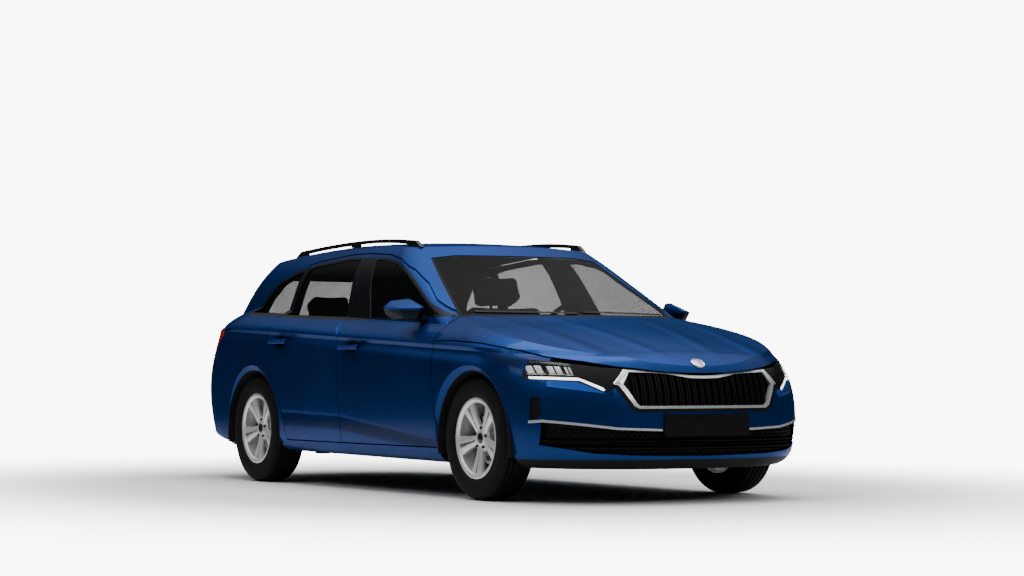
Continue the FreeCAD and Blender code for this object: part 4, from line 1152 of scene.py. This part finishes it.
@dataclass
class Headlamps:
    """Light guides, lamp cells and studs in the clear lenses, as (y, z) on the right."""

    finishes: Finishes
    guide: Outline = ((-0.818, 0.6505), (-0.650, 0.643), (-0.556, 0.592), (-0.550, 0.582), (-0.558, 0.577),
                      (-0.648, 0.629), (-0.818, 0.6385))
    cells: tuple[Point, ...] = ((-0.814, 0.666, 0.056), (-0.746, 0.663, 0.054), (-0.684, 0.660, 0.030))
    guide_reach: tuple[float, float] = (-0.0045, 0.0053)
    cell_reach: tuple[float, float] = (-0.016, -0.008)
    ledge_reach: tuple[float, float] = (-0.012, -0.012)
    stud_reach: tuple[float, float] = (-0.014, -0.006)
    stud: Outline = ((-0.005, -0.003), (0.005, -0.004), (0.005, 0.003), (-0.005, 0.004))
    stud_start: tuple[float, float] = (-0.640, 0.636)
    stud_pitch: tuple[float, float] = (0.018, 0.012)
    stud_fall: float = 0.0018
    stud_rows: int = 5
    stud_columns: int = 9

    def build(self) -> None:
        """Makes every piece of both lamps."""
        skin = Skin("headlamps")
        guides = Workpiece("daylight_guides")
        guides.plate(self.guide, *self.guide_reach)
        guides.lay(skin, cuts=(-0.84, -0.56, 0.02))
        guides.finish("body", self.finishes.guide)
        self.modules(skin)
        self.studs(skin)

    def modules(self, skin: Skin) -> None:
        """Faceted reflector cells, in pairs over a bright ledge, on the outer half of each lamp.

        Args:
            skin: the lenses.
        """
        cells, ledges = Workpiece("lamp_cells"), Workpiece("lamp_cell_rims")
        for y, z, wide in self.cells:
            for low in (y, y + wide / 2):
                high = low + wide / 2
                cells.plate(((low + 0.003, z), (high - 0.003, z), (high - 0.004, z + 0.038),
                             (low + 0.002, z + 0.040)), *self.cell_reach, 0.003)
            ledges.plate(((y - 0.002, z - 0.005), (y + wide, z - 0.005), (y + wide, z - 0.002),
                          (y - 0.002, z - 0.002)), *self.ledge_reach)
        for work, finish in ((cells, self.finishes.reflector), (ledges, self.finishes.chrome)):
            work.lay(skin)
            work.finish("body", finish)

    def studs(self, skin: Skin) -> None:
        """Rows of small studs on the inner half of each lamp.

        Args:
            skin: the lenses.
        """
        work = Workpiece("lamp_studs")
        for row in range(self.stud_rows):
            for column in range(self.stud_columns):
                y = self.stud_start[0] + column * self.stud_pitch[0]
                z = self.stud_start[1] + row * self.stud_pitch[1] - column * self.stud_fall
                work.plate([(y + across, z + up) for across, up in self.stud], *self.stud_reach)
        work.lay(skin)
        work.finish("body", self.finishes.satin)


@dataclass
class Nose:
    """Bright grille corners, mesh of the lower intake and the blank disc on the bonnet."""

    finishes: Finishes
    corner: Outline = ((-0.4380, 0.6880), (-0.5080, 0.6150), (-0.4700, 0.6110), (-0.4180, 0.6740))
    cell: float = 0.021
    cell_radius: float = 0.01176
    cell_depth: float = 0.005
    cell_forward: float = 0.008
    wire: float = 0.0034
    stretch: float = 1.45
    squash: float = 0.92
    rows: int = 7
    row_pitch: float = 0.01764
    columns: int = 40
    mesh_foot: float = 0.262
    intake_end: float = 0.775
    intake_bend: tuple[float, float] = (0.26, 0.52)
    intake_foot: tuple[float, float] = (0.258, 0.045)
    intake_head: tuple[float, float] = (0.362, 0.04)
    disc_height: float = 0.7165
    disc_rim: Outline = ((0.0360, -0.006), (0.0372, 0.0030), (0.0350, 0.0042), (0.0325, 0.0034),
                         (0.0320, -0.006))
    disc_face: Outline = ((0.0, 0.0026), (0.020, 0.0022), (0.0322, 0.0008), (0.0322, -0.006), (0.0, -0.006))

    def build(self) -> None:
        """Makes the pieces of the nose."""
        corners = Workpiece("grille_corners")
        corners.plate(self.corner, -0.010, 0.012, 0.002)
        corners.lay(Skin("grilles", "bright_trim", "headlamps", "headlamp_housings"),
                    cuts=(-0.50, -0.43, 0.01))
        corners.finish("body", self.finishes.chrome)
        self.lattice()
        self.disc()

    def lattice(self) -> None:
        """Honeycomb across the lower intake."""
        work = Workpiece("intake_mesh")
        for row in range(self.rows):
            z = self.mesh_foot + row * self.row_pitch
            for column in range(self.columns):
                y = -(column + 0.5 * (row % 2)) * self.cell * self.stretch
                if self.in_intake(y, z):
                    self.hexagon(work, y, z)
        work.lay(Skin("grilles"))
        work.finish("body", self.finishes.plastic, sharp=25.0)

    def in_intake(self, y: float, z: float) -> bool:
        """Whether a cell lies within the intake, which rises outwards.

        Args:
            y: the cell's middle.
            z: the cell's middle.

        Returns:
            True inside.
        """
        start, length = self.intake_bend
        share = min(1.0, max(0.0, (-y - start) / length))
        (foot, foot_rise), (head, head_rise) = self.intake_foot, self.intake_head
        return y >= -self.intake_end and foot + foot_rise * share ** 2 < z < head + head_rise * share

    def hexagon(self, work: Workpiece, y: float, z: float) -> None:
        """One stretched six-sided cell wall.

        Args:
            work: the mesh that it joins.
            y: its middle.
            z: its middle.
        """
        inner, outer = (self.cell_radius + half for half in (-self.wire / 2, self.wire / 2))
        known, deep = set(work.mesh.verts), self.cell_depth
        work.lathe(((inner, -deep), (outer, -deep), (outer, deep), (inner, deep)),
                   (self.cell_forward, 0.0, 0.0), (1, 0, 0), 6)
        fresh = [vert for vert in work.mesh.verts if vert not in known]
        bmesh.ops.scale(work.mesh, vec=Vector((1.0, self.stretch, self.squash)), verts=fresh)
        bmesh.ops.translate(work.mesh, vec=Vector((0.0, y, z)), verts=fresh)

    def disc(self) -> None:
        """Blank disc with a bright rim, where a badge would be."""
        skin = Skin("bonnet")
        touch, above = (skin.touch(Vector((0.0, 0.0, self.disc_height + up)), Facing.FRONT)
                        for up in (0.0, 0.010))
        axis = Vector((0.0, 1.0, 0.0)).cross((above - touch).normalized())
        axis = axis if axis.x > 0 else -axis
        centre = touch + axis * 0.001
        for name, profile, finish in (("blank_disc_rim", self.disc_rim, self.finishes.chrome),
                                      ("blank_disc_face", self.disc_face, self.finishes.satin)):
            work = Workpiece(name)
            work.lathe(profile, tuple(centre), tuple(axis), 56, closed=profile is self.disc_rim)
            work.finish("bonnet", finish)


@dataclass
class Mirror:
    """Wedge-shaped shell, arm and glass of one door mirror, drawn on the left side."""

    finishes: Finishes
    side: str
    shell: tuple[Point, ...] = (
        (0.700, 1.002, 1.024), (0.800, 0.965, 1.020), (0.895, 0.880, 1.022), (0.880, 0.850, 1.026),
        (0.675, 0.848, 1.030), (0.660, 0.988, 1.028), (0.740, 0.864, 1.0750), (0.668, 0.876, 1.0720),
        (0.665, 0.945, 1.0620), (0.672, 0.975, 0.985), (0.690, 0.940, 0.956), (0.850, 0.880, 0.958),
        (0.860, 0.850, 0.962), (0.675, 0.850, 0.958), (0.800, 0.930, 0.965))
    arm: Box = ((0.735, 0.775, 0.9505), (0.815, 0.872, 0.966))
    glass: tuple[Point, ...] = ((0.6600, 0.976, 1.022), (0.6610, 0.940, 1.052), (0.6630, 0.878, 1.062),
                                (0.6680, 0.858, 1.026), (0.6700, 0.860, 0.968), (0.6720, 0.940, 0.966),
                                (0.6640, 0.966, 0.988))

    def placed(self, points: Sequence[Point]) -> list[Point]:
        """Points moved to the mirror's own side."""
        return [(x, SIDES[self.side] * y, z) for x, y, z in points]

    def build(self) -> None:
        """Makes the shell and the glass."""
        replaced, body = [f"mirror_{self.side}"], f"door_front_{self.side}"
        shell = Workpiece(f"mirror_shell_{self.side}")
        corners = [shell.mesh.verts.new(point) for point in self.placed(self.shell)]
        bmesh.ops.convex_hull(shell.mesh, input=corners, use_existing_faces=False)
        bmesh.ops.dissolve_limit(shell.mesh, angle_limit=math.radians(4.0), verts=shell.mesh.verts[:],
                                 edges=shell.mesh.edges[:])
        shell.soften(shell.mesh.verts, 0.0035, 3)
        shell.block(self.placed(self.arm), 0.004)
        shell.finish(body, self.finishes.mirror, replaced, 40.0)
        glass = Workpiece(f"mirror_glass_{self.side}")
        glass.prism(self.placed(self.glass), (-0.002, 0.0, 0.0))
        glass.finish(body, self.finishes.mirror_glass, replaced)


@dataclass
class Cabin:
    """Padded seats and bench, and the screen on the dashboard, behind the glass."""

    finishes: Finishes
    floor: float = 0.285
    spread: float = 0.370
    seat_x: float = 0.055
    bench_x: float = -0.990
    hip_height: float = 0.195
    hip_back: float = 0.230
    seat_lean: float = 20.0
    bench_lean: float = 22.0
    seat_cushion: Box = ((-0.250, -0.25, 0.10), (0.270, 0.25, 0.235))
    seat_back: Box = ((-0.062, -0.25, -0.03), (0.062, 0.25, 0.605))
    seat_headrest: Box = ((-0.048, -0.13, 0.640), (0.048, 0.13, 0.805))
    seat_frame: Box = ((-0.20, -0.19, 0.001), (0.21, 0.19, 0.115))
    post: Outline = ((0.0, 0.560), (0.009, 0.560), (0.009, 0.690), (0.0, 0.690))
    post_spread: float = 0.055
    bench_cushion: Box = ((-0.015, 0.004, 0.05), (0.465, 0.612, 0.235))
    bench_back: Box = ((-0.070, 0.004, -0.03), (0.070, 0.612, 0.565))
    bench_headrest: Box = ((-0.040, -0.12, 0.560), (0.040, 0.12, 0.698))
    screen: Box = ((-0.006, -0.135, -0.070), (0.006, 0.135, 0.070))
    screen_place: Point = (0.628, 0.0, 0.865)
    screen_lean: float = 14.0
    firm: float = 0.9
    pad_edge: float = 0.36
    pad_cell: float = 0.045
    crown: float = 0.030
    waist: float = 0.012
    seam_depth: float = 0.012
    seam_place: float = 0.62
    seam_width: float = 0.055

    def build(self) -> None:
        """Makes the cabin's pieces."""
        for side, outward in SIDES.items():
            self.seat(side, outward * self.spread)
        self.bench()
        screens = Workpiece("dash_screens")
        screens.block(self.screen, 0.004, turn=self.leaning(self.screen_place, self.screen_lean))
        screens.finish("body", self.finishes.black)

    @staticmethod
    def leaning(place: Point, lean: float) -> Matrix:
        """Moves a shape to its place and leans it back by some degrees."""
        return Matrix.Translation(place) @ Matrix.Rotation(math.radians(-lean), 4, "Y")

    def cushion(self, name: str, box: Box, turn: Matrix, stands_for: str, fill: float = 0.75) -> None:
        """One crowned pad with a sewn centre panel.

        Args:
            name: its name.
            box: the corners of its block.
            turn: turns and moves the block into the car.
            stands_for: the CAD node that it replaces.
            fill: how tightly it is stuffed; not used.
        """
        work = Workpiece(name)
        low, high = extent(box)
        span, middle = Vector(high) - Vector(low), (Vector(low) + Vector(high)) / 2
        thin = min(range(3), key=lambda axis: span[axis])
        long = [axis for axis in range(3) if axis != thin]
        side = long[-1]
        work.block(box, min(span) * self.pad_edge, 4)
        for axis in long:
            work.slice(axis, low[axis] + 0.03, high[axis] - 0.03, self.pad_cell)
        for vert in work.mesh.verts:
            reach = [abs(vert.co[axis] - middle[axis]) / (span[axis] / 2) for axis in range(3)]
            waist = self.waist * (1 - reach[long[0]] ** 2)
            crown = self.crown * ((1 - reach[long[0]] ** 2) * (1 - reach[side] ** 2) - 1)
            seam = self.seam_depth * math.exp(-((reach[side] - self.seam_place) / self.seam_width) ** 2)
            vert.co[thin] += math.copysign(crown - seam, vert.co[thin] - middle[thin])
            vert.co[side] -= math.copysign(waist * reach[side], vert.co[side] - middle[side])
        bmesh.ops.transform(work.mesh, matrix=turn, verts=work.mesh.verts[:])
        piece = work.finish("body", self.finishes.cloth, [stands_for], 180.0)
        smooth = piece.modifiers.new("round", "SUBSURF")
        smooth.levels = smooth.render_levels = 1

    def seat(self, side: str, y: float) -> None:
        """Cushion, backrest and headrest of a front seat, and the frame that carries them.

        Args:
            side: the side that it is on.
            y: its middle.
        """
        upright = self.leaning((self.seat_x, y, self.floor), 0.0)
        turn = upright @ self.leaning((-self.hip_back, 0.0, self.hip_height), self.seat_lean)
        replaced = "front_seats"
        self.cushion(f"seat_cushion_{side}", self.seat_cushion, upright, replaced)
        self.cushion(f"seat_back_{side}", self.seat_back, turn, replaced)
        self.cushion(f"seat_headrest_{side}", self.seat_headrest, turn, replaced, self.firm)
        carrier = Workpiece(f"seat_frame_{side}")
        for across in (-self.post_spread, self.post_spread):
            carrier.lathe(self.post, (0, across, 0), (0, 0, 1), 16, closed=False)
        bmesh.ops.transform(carrier.mesh, matrix=turn, verts=carrier.mesh.verts[:])
        carrier.block(self.seat_frame, 0.02, turn=upright)
        carrier.finish("body", self.finishes.plastic, [replaced])

    def bench(self) -> None:
        """Rear bench in two halves with three headrests."""
        upright = self.leaning((self.bench_x, 0.0, self.floor), 0.0)
        turn = upright @ self.leaning((0.0, 0.0, self.hip_height), self.bench_lean)
        replaced = "rear_bench"
        pads = {"cushion": (self.bench_cushion, upright), "back": (self.bench_back, turn)}
        for side, outward in SIDES.items():
            for part, (box, place) in pads.items():
                half = [(x, outward * y, z) for x, y, z in box]
                self.cushion(f"bench_{part}_{side}", half, place, replaced)
        for number, across in enumerate((-self.spread, 0.0, self.spread)):
            box = [(x, across + y, z) for x, y, z in self.bench_headrest]
            self.cushion(f"bench_headrest_{number}", box, turn, replaced, self.firm)


@dataclass
class Details:
    """Wipers and the small parts of the tail, drawn as (y, z) seen along X."""

    finishes: Finishes
    wiper_spans: Outline = ((0.62, 0.02), (-0.02, -0.60))
    rear_wiper: Outline = ((-0.02, 1.008), (0.30, 1.016), (0.30, 1.026), (-0.02, 1.026))
    grip: Outline = ((-0.09, 0.802), (0.09, 0.802), (0.085, 0.822), (-0.085, 0.822))

    def build(self) -> None:
        """Makes the small parts."""
        f = self.finishes
        wipers = Workpiece("wipers")
        for low, high in self.wiper_spans:
            wipers.plate(((low, 0.992), (high, 1.000), (high, 1.010), (low, 1.002)), 0.002, 0.008)
        wipers.lay(Skin("windscreen", "bonnet", "bulkhead", "body_sides", "front_wings"),
                   cuts=(-0.60, 0.62, 0.04), twin=False)
        wipers.finish("body", f.plastic)
        skin = Skin("tailgate", "tailgate_window")
        for name, shape, cuts, finish in (
                ("rear_wiper", (self.rear_wiper, -0.003, -0.006), (0.0, 0.28, 0.04), f.plastic),
                ("hatch_grip", (self.grip, 0.004, -0.008, 0.002), (-0.06, 0.06, 0.03), f.black)):
            work = Workpiece(name)
            work.plate(*shape)
            work.lay(skin, Facing.BACK, cuts, twin=False)
            work.finish("tailgate", finish)


@dataclass
class Studio:
    """Pale floor, soft lights and the camera."""

    place: Point = (13.04369838, -7.55928985, 0.68131624)
    yaw: float = 149.149193
    pitch: float = 1.846
    focal: float = 2553.128
    frame_width: float = 1024.0
    floor_fade: tuple[float, float] = (1.8, 5.2)
    sky: tuple[float, float, float, float] = (0.35, 1.0, 0.03, 1.8)
    backdrop: float = 9.0
    lamps: tuple[tuple[str, Point, Point, float, float, float], ...] = (
        ("roof_light", (0.5, 0.0, 6.5), (0.0, 0.0, 0.5), 7.0, 4.0, 420.0),
        ("front_light", (9.0, 1.5, 4.5), (1.5, 0.0, 0.7), 4.0, 2.5, 150.0),
        ("side_light", (1.0, -8.0, 5.5), (0.0, 0.0, 0.8), 6.0, 1.6, 60.0))

    def build(self) -> None:
        """Sets the stage."""
        self.floor()
        self.surround()
        for name, place, target, wide, deep, power in self.lamps:
            data = bpy.data.lights.new(name, "AREA")
            data.shape = "RECTANGLE"
            data.size, data.size_y, data.energy = wide, deep, power
            lamp, aim = add_object(name, data), Vector(target) - Vector(place)
            lamp.location, lamp.rotation_euler = place, aim.to_track_quat("-Z", "Y").to_euler()
        self.camera()

    def floor(self) -> None:
        """Wide floor under the tyres, which fades into the surround."""
        shader = Shader("pale_floor")
        cloud = shader.noise(0.8, 2.0)
        reach = (shader.x * shader.x * 0.6 + shader.y * shader.y).power(0.5)
        material = shader.surface(Base_Color=shader.mix(cloud, (0.76, 0.76, 0.76), (0.80, 0.80, 0.80)),
                                  Roughness=0.75 + 0.1 * cloud, Alpha=1 - reach.rise(*self.floor_fade))
        mesh = bmesh.new()
        bmesh.ops.create_grid(mesh, x_segments=2, y_segments=2, size=60.0,
                              matrix=Matrix.Translation((0.0, 0.0, -0.0005)))
        floor = add_mesh("floor", mesh, material)

    def surround(self) -> None:
        """White surround that is brighter overhead, and flat white to the camera."""
        world = bpy.data.worlds.new("studio")
        world.use_nodes = True
        nodes, link = world.node_tree.nodes, world.node_tree.links.new
        back = nodes["Background"]
        where, apart, sky, path, level = (nodes.new(f"ShaderNode{kind}") for kind in (
            "TexCoord", "SeparateXYZ", "MapRange", "LightPath", "Mix"))
        for name, value in zip(("From Min", "From Max", "To Min", "To Max"), self.sky):
            sky.inputs[name].default_value = value
        level.inputs[3].default_value = self.backdrop
        link(where.outputs["Generated"], apart.inputs["Vector"])
        link(apart.outputs["Z"], sky.inputs["Value"])
        link(path.outputs["Is Camera Ray"], level.inputs[0])
        link(sky.outputs["Result"], level.inputs[2])
        link(level.outputs[0], back.inputs["Strength"])
        back.inputs["Color"].default_value = (1.0, 1.0, 1.0, 1.0)
        bpy.context.scene.world = world

    def camera(self) -> None:
        """Camera at the front right corner."""
        data = bpy.data.cameras.new("camera")
        data.sensor_width = 36.0
        data.lens = data.sensor_width * self.focal / self.frame_width
        data.clip_end = 200.0
        camera = bpy.context.scene.camera = add_object("camera", data)
        camera.location = self.place
        camera.rotation_euler = (math.radians(90.0 + self.pitch), 0.0, math.radians(self.yaw - 90.0))


def main() -> None:
    """Builds and dresses the whole car."""
    logging.basicConfig(level=logging.INFO, format="%(name)s: %(message)s")
    finishes = Finishes()
    Studio().build()
    Bodywork(finishes).dress()
    for end in AXLES:
        for side in SIDES:
            Wheel(finishes, end, side).build()
            Brake(finishes, end, side).build()
    Headlamps(finishes).build()
    Nose(finishes).build()
    for side in SIDES:
        Mirror(finishes, side).build()
    Cabin(finishes).build()
    Details(finishes).build()


if __name__ == "__main__":
    main()
